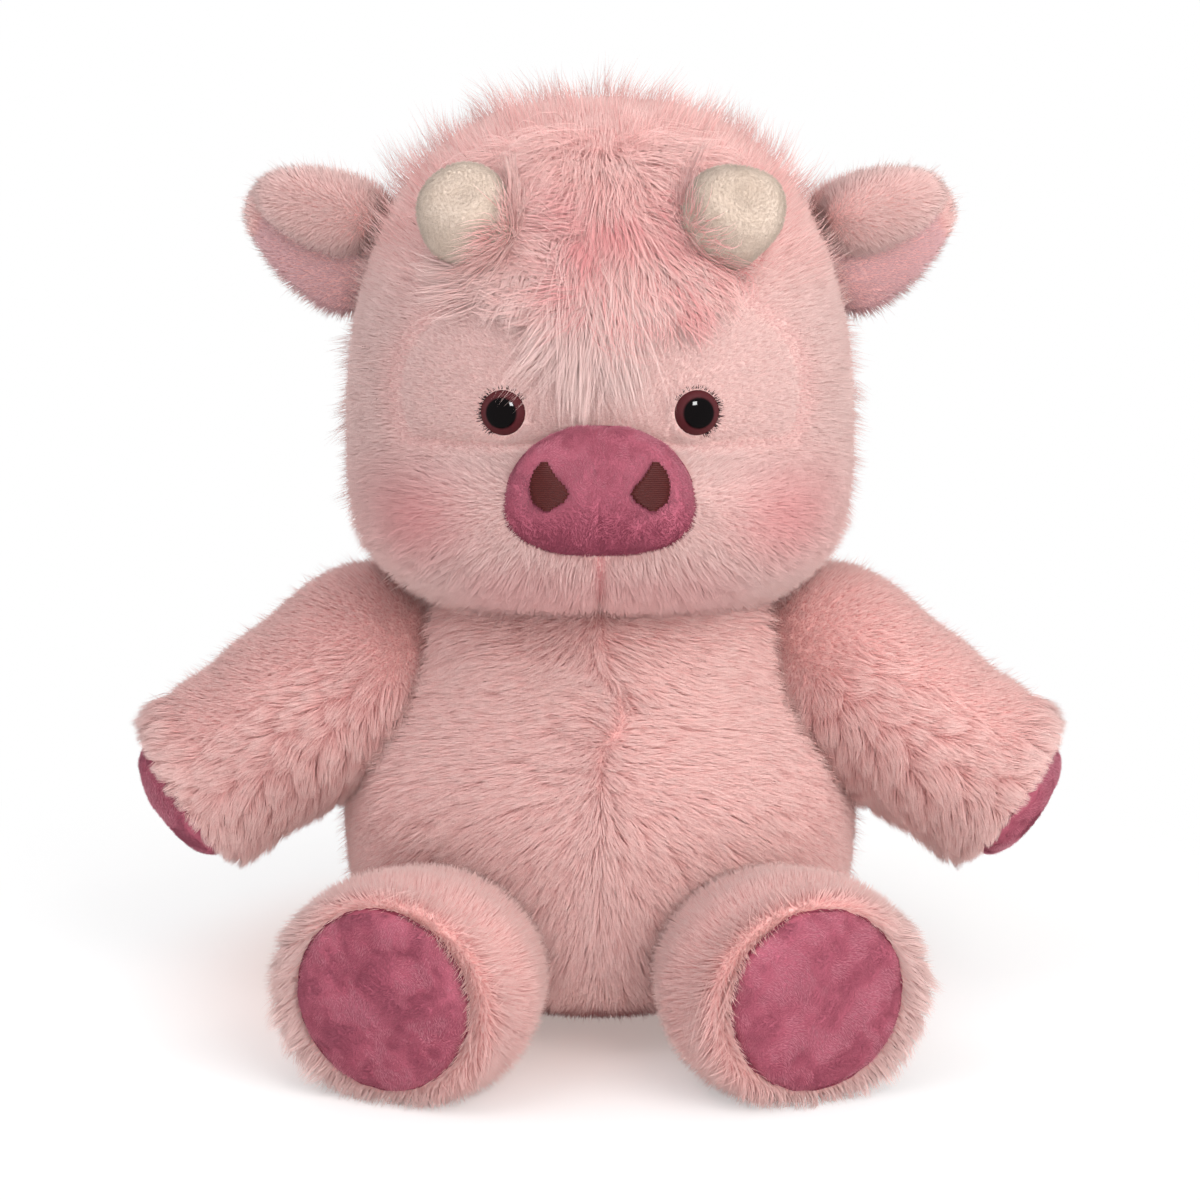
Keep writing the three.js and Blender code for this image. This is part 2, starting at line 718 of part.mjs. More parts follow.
function addEars(ears, scalp) {
  const press = scalp.subtract(bothSides(earRoot(SEAM_GAP)));
  const ear = drawnEar(earLeaf(0, 0).add(earRoll(0))).add(earRoot(0));
  addTrimmedPair(ears, 'ear', ear, press, plushPink);
  const lining = earLeaf(SEAM_GAP + EAR_LINING, EAR_BORDER)
    .subtract(earLeaf(SEAM_GAP, 0))
    .subtract(earRoll(SEAM_GAP))
    .intersect(halfSpace('y', -1, 0))
    .intersect(halfSpace('z', -1, EAR_ROLL_HALF_WIDTH));
  addTrimmedPair(ears, 'ear_lining', drawnEar(lining).subtract(earRoot(SEAM_GAP)), press, plushPale);
}

// Muzzle and nose

function muzzleForm(growth, columns, rows) {
  const reach = {
    side: MUZZLE_HALF_WIDTH + growth,
    front: MUZZLE_REACH + growth,
    back: MUZZLE_BACK,
    up: MUZZLE_HALF_HEIGHT + growth,
    down: MUZZLE_HALF_HEIGHT + growth,
  };
  const form = pillow(reach, 2.4, columns, rows);
  return toSolid(form.translate(headCentre.x, headCentre.y - muzzleForward, headCentre.z - MUZZLE_LOW));
}

function noseForm(growth) {
  const high = NOSE_HALF_HEIGHT + growth;
  const deep = NOSE_DEPTH + growth;
  const reach = { side: NOSE_HALF_WIDTH + growth, front: deep, back: deep, up: high, down: high };
  const form = pillow(reach, 2.4, MEDIUM, MEDIUM / 2);
  const places = form.attributes.position;
  for (let i = 0; i < places.count; i++) {
    places.setX(i, places.getX(i) * (1 - (NOSE_NARROWING * places.getZ(i)) / high));
  }
  form.rotateX(-NOSE_TILT);
  return toSolid(form.translate(headCentre.x, headCentre.y - noseForward, headCentre.z + NOSE_RISE));
}

// A drop shape, drawn from its middle, with its point up and its belly towards the middle of the nose.
function nostrilOutline() {
  const half = NOSTRIL_WIDTH / 2;
  const rise = NOSTRIL_HEIGHT / 2;
  const middle = NOSTRIL_SPACING / 2;
  const outline = new THREE.Shape();
  outline.moveTo(middle + half * 0.5, NOSTRIL_RISE + rise);
  outline.quadraticCurveTo(
    middle - half * 0.2, NOSTRIL_RISE + rise * 0.4,
    middle - half, NOSTRIL_RISE - rise * 0.3,
  );
  outline.quadraticCurveTo(middle - half * 0.8, NOSTRIL_RISE - rise, middle, NOSTRIL_RISE - rise);
  outline.bezierCurveTo(
    middle + half, NOSTRIL_RISE - rise * 0.8,
    middle + half * 1.4, NOSTRIL_RISE + rise * 0.4,
    middle + half * 0.5, NOSTRIL_RISE + rise,
  );
  return outline;
}

function addMuzzle(head, scalp, hollow) {
  const cover = muzzleForm(0, FINE, MEDIUM)
    .subtract(muzzleForm(-MUZZLE_PLUSH, MEDIUM, MEDIUM / 2))
    .subtract(scalp)
    .subtract(hollow);
  addHalves(head, 'muzzle', cover, plushPale);
  const filling = muzzleForm(-MUZZLE_PLUSH - SEAM_GAP, MEDIUM, MEDIUM / 2).subtract(scalp).subtract(hollow);
  addPiece(head, 'muzzle_stuffing', filling, fibreWhite);
}

function addNose(head, scalp) {
  const backing = scalp.add(muzzleForm(SEAM_GAP, FINE, MEDIUM));
  addPiece(head, 'nose_pad', noseForm(0).subtract(backing), velourRose);
  const thread = noseForm(SEAM_GAP + NOSTRIL_THREAD)
    .subtract(noseForm(SEAM_GAP))
    .intersect(bothSides(facePrism(nostrilOutline(), -noseForward)));
  addHalves(head, 'nostril', thread, threadBrown);
}

function addEyes(head) {
  const both = { left: head, right: head };
  addPair(both, 'eye', eyeSolid(), eyeBlack);
  addPair(both, 'eye_washer', washerSolid(), washerClear);
}

function addHead(head, ears) {
  const scalp = headForm(SEAM_GAP, FINE, MEDIUM);
  const hollow = neckHollow();
  const cover = headForm(0, FINE, MEDIUM).subtract(headForm(-PLUSH, MEDIUM, MEDIUM / 2)).subtract(hollow);
  const sides = cover
    .subtract(facePrism(faceOutline(SEAM_GAP), 0))
    .subtract(bothSides(earRoot(JOINT_GAP)));
  addHalves(head, 'head', sides, plushPink);
  const washerPockets = bothSides(washerPocket());
  const face = cover
    .intersect(facePrism(faceOutline(0), 0))
    .subtract(bothSides(eyeSocket()))
    .subtract(washerPockets);
  addPiece(head, 'face_panel', face, plushPale);
  const filling = headForm(-PLUSH - SEAM_GAP, MEDIUM, MEDIUM / 2)
    .subtract(hollow)
    .subtract(washerPockets);
  addPiece(head, 'head_stuffing', filling, fibreWhite);
  addEyes(head);
  addMuzzle(head, scalp, hollow);
  addNose(head, scalp);
  addHorns(head, scalp);
  addForelock(head, scalp);
  addEars(ears, scalp);
}

const calf = new THREE.Group();
calf.name = 'plush_highland_calf';
calf.userData.pivot = new THREE.Vector3();

const body = jointedGroup('body_root', calf, new THREE.Vector3());
const neck = jointedGroup('neck_joint', body, neckCentre);
const head = jointedGroup('head_joint', neck, neckCentre);
const ears = jointedPair('ear', head, new THREE.Vector3().setFromMatrixPosition(earMatrix));

addBody(body);
addArms(jointedPair('arm', body, shoulder));
addLegs(jointedPair('leg', body, hip));
addTail(jointedGroup('tail_joint', body, tailRoot));
addNeck(neck);
addHead(head, ears);

export default calf;
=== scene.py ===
"""Looks of a seated plush highland cow calf: pile, velour, fleece, thread, eyes and a plain studio.

Sizes are in millimetres in the calf's frame, where +Z is up, the face looks along -Y and the calf's
own left is +X. They become metres where a mesh is made.
"""
import logging
import math
import zlib
from dataclasses import dataclass, replace
from enum import Enum
from typing import Callable, Iterable

import bpy
import numpy as np
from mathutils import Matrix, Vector
from mathutils.kdtree import KDTree


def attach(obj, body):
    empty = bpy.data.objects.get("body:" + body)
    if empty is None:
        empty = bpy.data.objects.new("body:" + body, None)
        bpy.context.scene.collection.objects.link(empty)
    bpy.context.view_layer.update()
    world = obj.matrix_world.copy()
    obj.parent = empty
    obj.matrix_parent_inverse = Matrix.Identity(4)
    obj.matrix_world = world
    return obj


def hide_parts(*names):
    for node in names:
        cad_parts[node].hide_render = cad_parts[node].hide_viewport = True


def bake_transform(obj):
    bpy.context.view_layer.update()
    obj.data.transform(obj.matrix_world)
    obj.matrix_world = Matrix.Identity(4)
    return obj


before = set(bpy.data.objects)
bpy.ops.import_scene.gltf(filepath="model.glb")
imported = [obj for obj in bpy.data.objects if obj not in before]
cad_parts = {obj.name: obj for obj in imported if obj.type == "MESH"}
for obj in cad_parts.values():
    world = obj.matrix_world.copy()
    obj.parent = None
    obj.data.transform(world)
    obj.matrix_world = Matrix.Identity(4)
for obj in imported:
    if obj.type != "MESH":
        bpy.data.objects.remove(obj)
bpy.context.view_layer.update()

log = logging.getLogger("calf")

MM = 0.001
FACES_A_PIECE = 190_000
UP = np.array([0.0, 0.0, 1.0])
Array = np.ndarray
Point = tuple[float, float, float]
Colour = tuple[float, float, float, float]
Distance = Callable[[Array], Array]
Piece, Mesh, Material = bpy.types.Object, bpy.types.Mesh, bpy.types.Material
Tree, Node, Socket = bpy.types.NodeTree, bpy.types.Node, bpy.types.NodeSocket


class Side(Enum):
    """The calf's own left, towards +X, and right."""

    LEFT = 1
    RIGHT = -1

    @property
    def word(self) -> str:
        """The side as it stands in the names of pieces."""
        return self.name.lower()

    def mirrored(self, points: Iterable[float]) -> Array:
        """Points of the left side, carried to this side."""
        return np.asarray(points, float) * np.array([self.value, 1.0, 1.0])


# Points and directions


def tint(red: int, green: int, blue: int) -> Colour:
    """The linear colour of a screen colour.

    Args:
        red, green, blue: channels from 0 to 255.

    Returns:
        The colour with full alpha, as sockets take it.
    """
    channels = np.array([red, green, blue]) / 255
    linear = np.where(channels <= 0.04045, channels / 12.92, ((channels + 0.055) / 1.055) ** 2.4)
    return (float(linear[0]), float(linear[1]), float(linear[2]), 1.0)


def unit(vectors: Array) -> Array:
    """Vectors of length 1 in the same directions."""
    return vectors / np.maximum(np.linalg.norm(vectors, axis=-1, keepdims=True), 1e-9)


def combed(vectors: Array, normals: Array) -> Array:
    """The part of each vector that lies along the surface, at length 1."""
    return unit(vectors - (vectors * normals).sum(-1, keepdims=True) * normals)


def ease(low: float, high: float, values: Array) -> Array:
    """A smooth step from 0 at low to 1 at high, which may lie below low."""
    share = np.clip((np.asarray(values, float) - low) / (high - low), 0, 1)
    return share * share * (3 - 2 * share)


def bump_at(points: Array, centre: Iterable[float], reach: float) -> Array:
    """1 at a point, falling softly to nothing at about twice the reach."""
    return np.exp(-((points - np.asarray(centre, float)) ** 2).sum(-1) / reach**2)


def bell(values: Array, width: float) -> Array:
    """1 at 0, falling softly to nothing at about twice the width."""
    return np.exp(-((values / width) ** 2))


def far_from(points: Array, spot: Iterable[float]) -> Array:
    """How far points lie from a spot."""
    return np.linalg.norm(points - np.asarray(spot, float), axis=1)


def bezier(start: Iterable[float], pull: Iterable[float], push: Iterable[float], end: Iterable[float],
           steps: int = 12) -> Array:
    """Points of a cubic curve from its start to its end.

    Args:
        start, end: the ends of the curve.
        pull, push: the points that it leaves towards and comes in from.
        steps: how many stretches to draw it in.

    Returns:
        The points, one a row.
    """
    share = np.linspace(0, 1, steps + 1)[:, None]
    corners = [np.asarray(corner, float) for corner in (start, pull, push, end)]
    weights = [(1 - share) ** 3, 3 * share * (1 - share) ** 2, 3 * share**2 * (1 - share), share**3]
    return sum(weight * corner for weight, corner in zip(weights, corners))


def evened(path: Array, step: float) -> Array:
    """The same path with points at an even step along it."""
    lengths = np.concatenate([[0], np.cumsum(np.linalg.norm(np.diff(path, axis=0), axis=1))])
    count = max(3, int(round(lengths[-1] / step)) + 1)
    places = np.linspace(0, lengths[-1], count)
    return np.stack([np.interp(places, lengths, column) for column in path.T], 1)


def joined(first: Array, second: Array, soft: float) -> Array:
    """The distance to two forms sewn into one with a soft valley between them."""
    share = np.clip(0.5 + 0.5 * (second - first) / soft, 0, 1)
    return second * (1 - share) + first * share - soft * share * (1 - share)


@dataclass(frozen=True)
class Drift:
    """A smooth random field over space, from about -1 to 1."""

    seed: int
    wavelength: float
    waves: int = 14

    def at(self, points: Array) -> Array:
        """The field's value at each point."""
        rng = np.random.default_rng(self.seed)
        turns = unit(rng.normal(size=(self.waves, 3))) * rng.uniform(0.6, 1.5, (self.waves, 1))
        phases = rng.uniform(0, 2 * math.pi, self.waves)
        waves = np.sin(points @ turns.T * (2 * math.pi / self.wavelength) + phases)
        return waves.sum(-1) * math.sqrt(2 / self.waves) * 0.7


# Forms


@dataclass(frozen=True)
class Pillow:
    """A padded form: a rounded box whose reach may differ on the two sides of an axis."""

    centre: Point
    low: Point
    high: Point
    fullness: float

    def distance(self, points: Array) -> Array:
        """How far outside the form each point lies, along its line to the centre."""
        offset = points - np.array(self.centre)
        reach = np.where(offset < 0, self.low, self.high)
        rise = ((np.abs(offset) / reach) ** self.fullness).sum(-1) ** (1 / self.fullness)
        span = np.linalg.norm(offset, axis=-1)
        return span - span / np.maximum(rise, 1e-6)


@dataclass
class Roots:
    """Spots on a surface that pile grows from."""

    points: Array
    normals: Array

    def kept(self, mask: Array) -> "Roots":
        """The spots that a mask keeps."""
        return Roots(self.points[mask], self.normals[mask])

    def on(self, side: Side) -> "Roots":
        """The spots on one side."""
        return self.kept(self.points[:, 0] * side.value > 0)

    def thinned(self, share: Array, seed: str) -> "Roots":
        """Only some of the spots, each kept by a chance of its own."""
        return self.kept(drawn(seed).random(len(self.points)) < share)


@dataclass
class Surface:
    """A closed mesh of quads with a fan of triangles at each pole."""

    points: Array
    quads: Array
    fans: Array

    def triangles(self) -> Array:
        """All faces as triangles."""
        return np.vstack([self.quads[:, [0, 1, 2]], self.quads[:, [0, 2, 3]], self.fans])

    def normals(self) -> Array:
        """The direction outwards at each point."""
        corners = self.points[self.triangles()]
        facing = np.cross(corners[:, 1] - corners[:, 0], corners[:, 2] - corners[:, 0])
        total = np.zeros_like(self.points)
        for corner in range(3):
            np.add.at(total, self.triangles()[:, corner], facing)
        return unit(total)

    def outward(self) -> "Surface":
        """The same mesh with its faces turned to the outside."""
        corners = self.points[self.triangles()]
        volume = (np.cross(corners[:, 0], corners[:, 1]) * corners[:, 2]).sum()
        if volume >= 0:
            return self
        return Surface(self.points, self.quads[:, ::-1], self.fans[:, ::-1])

    def at(self, points: Array) -> "Surface":
        """The same mesh with other points."""
        return Surface(points, self.quads, self.fans)

    def moved(self, offsets: Array) -> "Surface":
        """The same mesh with its points moved."""
        return self.at(self.points + offsets)

    def roots(self, density: float, seed: str) -> Roots:
        """Random spots, spread evenly over the surface.

        Args:
            density: spots to a square millimetre.
            seed: a name that fixes the draw.

        Returns:
            The spots with their outward directions.
        """
        rng = drawn(seed)
        faces = self.triangles()
        corners = self.points[faces]
        sides = np.cross(corners[:, 1] - corners[:, 0], corners[:, 2] - corners[:, 0])
        areas = np.linalg.norm(sides, axis=1) / 2
        share = density * 1.0
        count = int(areas.sum() * share)
        chosen = np.searchsorted(np.cumsum(areas), (np.arange(count) + rng.random(count)) / count * areas.sum())
        chosen = np.minimum(chosen, len(faces) - 1)
        first, second = rng.random(count), rng.random(count)
        folded = first + second > 1
        first[folded], second[folded] = 1 - first[folded], 1 - second[folded]
        weights = np.stack([1 - first - second, first, second], 1)[:, :, None]
        spots = (self.points[faces[chosen]] * weights).sum(1)
        facing = unit((self.normals()[faces[chosen]] * weights).sum(1))
        return Roots(spots, facing)

    def piece(self, name: str, material: Material) -> Piece:
        """A smooth object of this mesh."""
        return meshed(name, self.points, self.quads.tolist() + self.fans.tolist(), material)


def drawn(name: str) -> np.random.Generator:
    """A random generator that a name fixes."""
    return np.random.default_rng(zlib.crc32(name.encode()))


def shown(name: str, mesh: Mesh) -> Piece:
    """A new object of a mesh, in the scene and in the log."""
    piece = bpy.data.objects.new(name, mesh)
    bpy.context.scene.collection.objects.link(piece)
    log.info("%s: %d faces", name, len(mesh.polygons))
    return piece


def meshed(name: str, points: Array, faces: list[list[int]], material: Material) -> Piece:
    """A smooth object of points and faces.

    Args:
        name: the piece's name.
        points: its points, in millimetres.
        faces: the numbers of each face's points.
        material: its material.

    Returns:
        The object, in metres.
    """
    mesh = bpy.data.meshes.new(name)
    mesh.from_pydata((points * MM).tolist(), [], faces)
    mesh.shade_smooth()
    mesh.materials.append(material)
    return shown(name, mesh)


def wrapped(rings: Array, first_pole: Array, last_pole: Array) -> Surface:
    """A closed surface from rings of points and a pole at each end.

    Args:
        rings: points by ring and by place round the ring.
        first_pole, last_pole: the points that close the ends.

    Returns:
        The surface, facing outwards.
    """
    rows, columns = rings.shape[:2]
    index = np.arange(rows * columns).reshape(rows, columns)
    ahead = np.roll(index, -1, axis=1)
    quads = np.stack([index[:-1], ahead[:-1], ahead[1:], index[1:]], -1).reshape(-1, 4)
    start, end = rows * columns, rows * columns + 1
    first = np.stack([ahead[0], index[0], np.full(columns, start)], -1)
    last = np.stack([index[-1], ahead[-1], np.full(columns, end)], -1)
    points = np.vstack([rings.reshape(-1, 3), first_pole, last_pole])
    return Surface(points, quads, np.vstack([first, last])).outward()


def star(centre: Iterable[float], distance: Distance, columns: int, rows: int,
         reach: float = 160.0) -> Surface:
    """The surface of a form that can be seen whole from a centre.

    Args:
        centre: the point to look from.
        distance: tells how far outside the form points lie.
        columns, rows: the faces round the form and from pole to pole.
        reach: the furthest that the form may lie from the centre.

    Returns:
        The surface, with its poles above and below the centre.
    """
    polar = np.linspace(0, math.pi, rows + 1)[:, None]
    turn = np.linspace(0, 2 * math.pi, columns, endpoint=False)[None, :]
    ways = np.stack([np.sin(polar) * np.cos(turn), np.sin(polar) * np.sin(turn),
                     np.cos(polar) * np.ones_like(turn)], -1)
    middle = np.asarray(centre, float)
    near, far = np.zeros(ways.shape[:2]), np.full(ways.shape[:2], reach)
    for _ in range(32):
        half = (near + far) / 2
        outside = distance(middle + ways * half[..., None]) > 0
        near, far = np.where(outside, near, half), np.where(outside, half, far)
    points = middle + ways * near[..., None]
    return wrapped(points[1:-1], points[0, 0], points[-1, 0])


def spindle(profile: Array, origin: Iterable[float], direction: Iterable[float], columns: int) -> Surface:
    """A form turned about an axis.

    Args:
        profile: radius and place along the axis of each ring; the first and last radius are 0.
        origin: where the axis starts.
        direction: the way it runs.
        columns: the faces round it.

    Returns:
        The surface.
    """
    axis = unit(np.asarray(direction, float))
    across = unit(np.cross(axis, UP if abs(axis[2]) < 0.9 else np.array([0.0, 1.0, 0.0])))
    third = np.cross(axis, across)
    turn = np.linspace(0, 2 * math.pi, columns, endpoint=False)
    spokes = np.cos(turn)[:, None] * across + np.sin(turn)[:, None] * third
    middles = np.asarray(origin, float) + profile[:, 1:2] * axis
    rings = middles[:, None, :] + profile[:, 0][:, None, None] * spokes[None]
    return wrapped(rings[1:-1], middles[0], middles[-1])


def tubes(name: str, paths: list[Array], radius: float, material: Material,
          taper: float = 0.0) -> Piece:
    """Round threads along paths, each a closed mesh, as one object.

    Args:
        name: the piece's name.
        paths: the points of each thread's middle.
        radius: the thread's radius where it starts.
        material: its material.
        taper: the share of the radius that is gone where it ends.

    Returns:
        The object.
    """
    sides, askew = 6, np.array([0.31, 0.43, 0.85])
    turn = np.arange(sides) * 2 * math.pi / sides
    points, faces = [], []
    for path in paths:
        ways = unit(np.gradient(path, axis=0))
        first = unit(np.cross(ways, askew))
        second = np.cross(ways, first)
        width = radius * (1 - taper * np.linspace(0, 1, len(path)))[:, None, None]
        spokes = np.cos(turn)[:, None] * first[:, None] + np.sin(turn)[:, None] * second[:, None]
        base = len(points)
        points += (path[:, None] + spokes * width).reshape(-1, 3).tolist()
        for ring in range(len(path) - 1):
            low, high = base + ring * sides, base + (ring + 1) * sides
            faces += [[low + k, low + (k + 1) % sides, high + (k + 1) % sides, high + k] for k in range(sides)]
        last = base + (len(path) - 1) * sides
        faces += [[base + k for k in reversed(range(sides))], [last + k for k in range(sides)]]
    return meshed(name, np.array(points), faces, material)


# Node trees


class Board:
    """Adds and joins the nodes of one node tree."""

    def __init__(self, tree: Tree) -> None:
        """Starts on a tree."""
        self.tree = tree

    def put(self, node: Node, inputs: dict) -> Node:
        """Gives a node's inputs values or other nodes' outputs.

        Args:
            node: the node.
            inputs: values or outputs by the name or number of the input.

        Returns:
            The same node.
        """
        for key, value in inputs.items():
            if isinstance(value, Socket):
                self.tree.links.new(value, node.inputs[key])
            else:
                node.inputs[key].default_value = value
        return node

    def node(self, kind: str, inputs: dict | None = None, **settings: object) -> Node:
        """A new node.

        Args:
            kind: the node's type.
            inputs: values or other nodes' outputs by the name or number of the input.
            settings: the node's own properties.

        Returns:
            The node.
        """
        made = self.tree.nodes.new(kind)
        for key, value in settings.items():
            setattr(made, key, value)
        return self.put(made, inputs or {})

    def shared(self, group: "Group", inputs: dict) -> Node:
        """A new node of a shared effect."""
        return self.node("ShaderNodeGroup", inputs, node_tree=group.tree())

    def kept(self, label: str) -> Socket:
        """The value that a mesh keeps under a name, as an output."""
        return self.node("ShaderNodeAttribute", attribute_name=label).outputs["Fac"]

    def place(self) -> Socket:
        """The place in the piece's own frame, as an output."""
        return self.node("ShaderNodeTexCoord").outputs["Object"]

    def noise(self, scale: object, detail: float, **more: float) -> Socket:
        """Noise over the piece, as an output."""
        inputs = {"Vector": self.place(), "Scale": scale, "Detail": detail}
        return self.node("ShaderNodeTexNoise", {**inputs, **more}).outputs[0]

    def mix(self, share: object, first: object, second: object) -> Socket:
        """A colour between two others, as an output."""
        return self.node("ShaderNodeMix", {0: share, 6: first, 7: second}, data_type="RGBA").outputs[2]

    def math(self, operation: str, first: object, second: object = 0.0) -> Socket:
        """The result of a sum on two values, as an output."""
        return self.node("ShaderNodeMath", {0: first, 1: second}, operation=operation).outputs[0]

    def blend(self, first: object, second: object, share: float) -> Socket:
        """The sum of a share of one value and the rest of another, as an output."""
        return self.math("ADD", self.math("MULTIPLY", first, share), self.math("MULTIPLY", second, 1 - share))

    def span(self, value: object, low: float, high: float, start: object = 0.0, end: object = 1.0) -> Socket:
        """A value carried smoothly from one span to another, as an output."""
        made = self.node("ShaderNodeMapRange", {0: value, 1: low, 2: high, 3: start, 4: end},
                         interpolation_type="SMOOTHSTEP")
        return made.outputs[0]

    def seen(self) -> Socket:
        """1 where the camera looks or a mirror shows, as an output."""
        path = self.node("ShaderNodeLightPath")
        return self.math("MAXIMUM", path.outputs["Is Camera Ray"], path.outputs["Is Glossy Ray"])

    def raise_nap(self, shader: Node, height: Socket, strength: float) -> None:
        """Lets a height of up to a millimetre bend a shader's normal."""
        bump = self.node("ShaderNodeBump", {"Height": height, "Strength": strength, "Distance": MM})
        self.put(shader, {"Normal": bump.outputs[0]})


def emptied(owner: Material | bpy.types.World) -> Board:
    """A board on the node tree of a material or a world, without the nodes that it came with."""
    owner.use_nodes = True
    owner.node_tree.nodes.clear()
    return Board(owner.node_tree)


class Group(Enum):
    """The effects that more than one finish shares."""

    PILE = "pile_shade"
    NAP = "brushed_nap"

    def tree(self) -> Tree:
        """The group's node tree, made the first time that it is asked for."""
        found = bpy.data.node_groups.get(self.value)
        return found or {Group.PILE: pile_tree, Group.NAP: nap_tree}[self]()


def group_tree(group: Group, inputs: dict[str, object], outputs: dict[str, str]) -> tuple[Board, dict, Node]:
    """An empty shader group with its sockets.

    Args:
        group: the effect.
        inputs: a default by socket name; a colour makes a colour socket and a number a value.
        outputs: the kind of socket by name.

    Returns:
        The board to build on, the group's inputs by name and the node that takes its outputs.
    """
    tree = bpy.data.node_groups.new(group.value, "ShaderNodeTree")
    for label, value in inputs.items():
        kind = "NodeSocketColor" if isinstance(value, tuple) else "NodeSocketFloat"
        tree.interface.new_socket(label, in_out="INPUT", socket_type=kind).default_value = value
    for label, kind in outputs.items():
        tree.interface.new_socket(label, in_out="OUTPUT", socket_type=kind)
    board = Board(tree)
    source = board.node("NodeGroupInput")
    return board, {label: source.outputs[label] for label in inputs}, board.node("NodeGroupOutput")


def pile_tree() -> Tree:
    """The colour of a strand from its root to its tip, with shares of pale colours, of chance and of a deep pink that
    is partly the cheeks' own pink and partly painted shade.
    """
    grey = (0.5, 0.5, 0.5, 1.0)
    colours = dict.fromkeys(("Root", "Middle", "Tip", "Pale Root", "Pale Tip", "Blush Colour"), grey)
    board, given, sink = group_tree(Group.PILE, {"Along": 0.0, "Chance": 0.5, "Pale": 0.0, "Blush": 0.0, **colours},
                                    {"Color": "NodeSocketColor"})
    low = board.span(given["Along"], 0.0, 0.55)
    high = board.span(given["Along"], 0.45, 1.0)
    plain = board.mix(high, board.mix(low, given["Root"], given["Middle"]), given["Tip"])
    pale = board.mix(board.span(given["Along"], 0.0, 0.9), given["Pale Root"], given["Pale Tip"])
    toned = board.mix(given["Pale"], plain, pale)
    # The deep pink mix gives the cheeks' own pink and also painted shade: in seams and partings, at the arms' roots,
    # under the belly, on the nose's lower part and the chin under it, and on the dark side of the velour's painted
    # sheen.
    warmed = board.mix(given["Blush"], toned, given["Blush Colour"])
    level = board.span(given["Chance"], 0.0, 1.0, 0.93, 1.05)
    bright = board.node("ShaderNodeVectorMath", {0: warmed, 3: level}, operation="SCALE")
    board.put(sink, {"Color": bright.outputs[0]})
    return board.tree


def nap_tree() -> Tree:
    """Brushed nap: patches that lean different ways, fine fibres and a height for both."""
    board, given, sink = group_tree(Group.NAP, {"Patch Scale": 60.0, "Fibre Scale": 900.0},
                                    dict.fromkeys(("Patches", "Fibres", "Height"), "NodeSocketFloat"))
    patches = board.noise(given["Patch Scale"], 6.0, Roughness=0.66, Distortion=0.45)
    fibres = board.noise(given["Fibre Scale"], 3.0, Roughness=0.7)
    board.put(sink, {"Patches": board.span(patches, 0.32, 0.68), "Fibres": fibres,
                     "Height": board.blend(fibres, patches, 0.7)})
    return board.tree


# Finishes


@dataclass(frozen=True)
class Finish:
    """A surface's material, made the first time that it is asked for."""

    name: str

    def material(self) -> Material:
        """The finish's material, with one Principled shader."""
        found = bpy.data.materials.get(self.name)
        if found:
            return found
        material = bpy.data.materials.new(self.name)
        board = emptied(material)
        shader = board.node("ShaderNodeBsdfPrincipled")
        board.node("ShaderNodeOutputMaterial", {"Surface": shader.outputs[0]})
        self.shade(board, shader)
        return material

    def shade(self, board: Board, shader: Node) -> None:
        """Joins the finish's own nodes to the shader.

        Args:
            board: a board on the material's tree.
            shader: the material's shader.
        """
        raise NotImplementedError


@dataclass(frozen=True)
class PlushFinish(Finish):
    """Long pile: strands that pale from root to tip."""

    root: Colour
    middle: Colour
    tip: Colour
    pale_root: Colour
    pale_tip: Colour
    blush: Colour
    roughness: float = 0.75
    sheen: float = 0.25

    def shade(self, board: Board, shader: Node) -> None:
        """Colours the strands by the shares that they keep."""
        labels = ("along", "chance", "pale", "blush")
        self.colour(board, shader, {label.title(): board.kept(label) for label in labels})

    def colour(self, board: Board, shader: Node, shares: dict) -> None:
        """Gives a shader the pile's colours and sheen.

        Args:
            board: the board that the shader is on.
            shader: the shader.
            shares: the outputs that the shading group reads, by its inputs.
        """
        pile = board.shared(Group.PILE, {
            "Root": self.root, "Middle": self.middle, "Tip": self.tip, "Pale Root": self.pale_root,
            "Pale Tip": self.pale_tip, "Blush Colour": self.blush, **shares})
        board.put(shader, {"Base Color": pile.outputs["Color"], "Roughness": self.roughness,
                           "Specular IOR Level": 0.15, "Sheen Weight": self.sheen, "Sheen Roughness": 0.5,
                           "Sheen Tint": self.tip})


@dataclass(frozen=True)
class GroundFinish(Finish):
    """The cloth that long pile stands on, in the pile's own colours and thick with its roots."""

    pile: PlushFinish
    bump: float = 0.5

    def shade(self, board: Board, shader: Node) -> None:
        """Colours the cloth as its pile, by the shares of pale and of deep pink (cheek pink and painted shade) that
        it keeps.
        """
        nap = board.shared(Group.NAP, {"Patch Scale": 140.0, "Fibre Scale": 1200.0})
        self.pile.colour(board, shader, {
            "Along": board.span(nap.outputs["Fibres"], 0.25, 0.75, 0.42, 0.74), "Chance": nap.outputs["Patches"],
            "Pale": board.kept("pale"), "Blush": board.kept("blush")})
        board.raise_nap(shader, nap.outputs["Height"], self.bump)


@dataclass(frozen=True)
class NapFinish(Finish):
    """Short brushed cloth: velour, fleece or loose fibre."""

    deep: Colour
    light: Colour
    patch_scale: float
    fibre_scale: float
    bump: float
    roughness: float = 0.85
    sheen: float = 0.4

    def shade(self, board: Board, shader: Node) -> None:
        """Colours the cloth by its patches and fibres."""
        nap = board.shared(Group.NAP, {"Patch Scale": self.patch_scale, "Fibre Scale": self.fibre_scale})
        # On the velour the light and dark patches are partly painted sheen of nap brushed different ways; on the
        # fleece and fibre they are tone that differs at random.
        share = board.blend(nap.outputs["Patches"], nap.outputs["Fibres"], 0.65)
        board.put(shader, {"Base Color": board.mix(share, self.deep, self.light), "Roughness": self.roughness,
                           "Specular IOR Level": 0.2, "Sheen Weight": self.sheen, "Sheen Roughness": 0.4,
                           "Sheen Tint": self.light})
        board.raise_nap(shader, nap.outputs["Height"], self.bump)


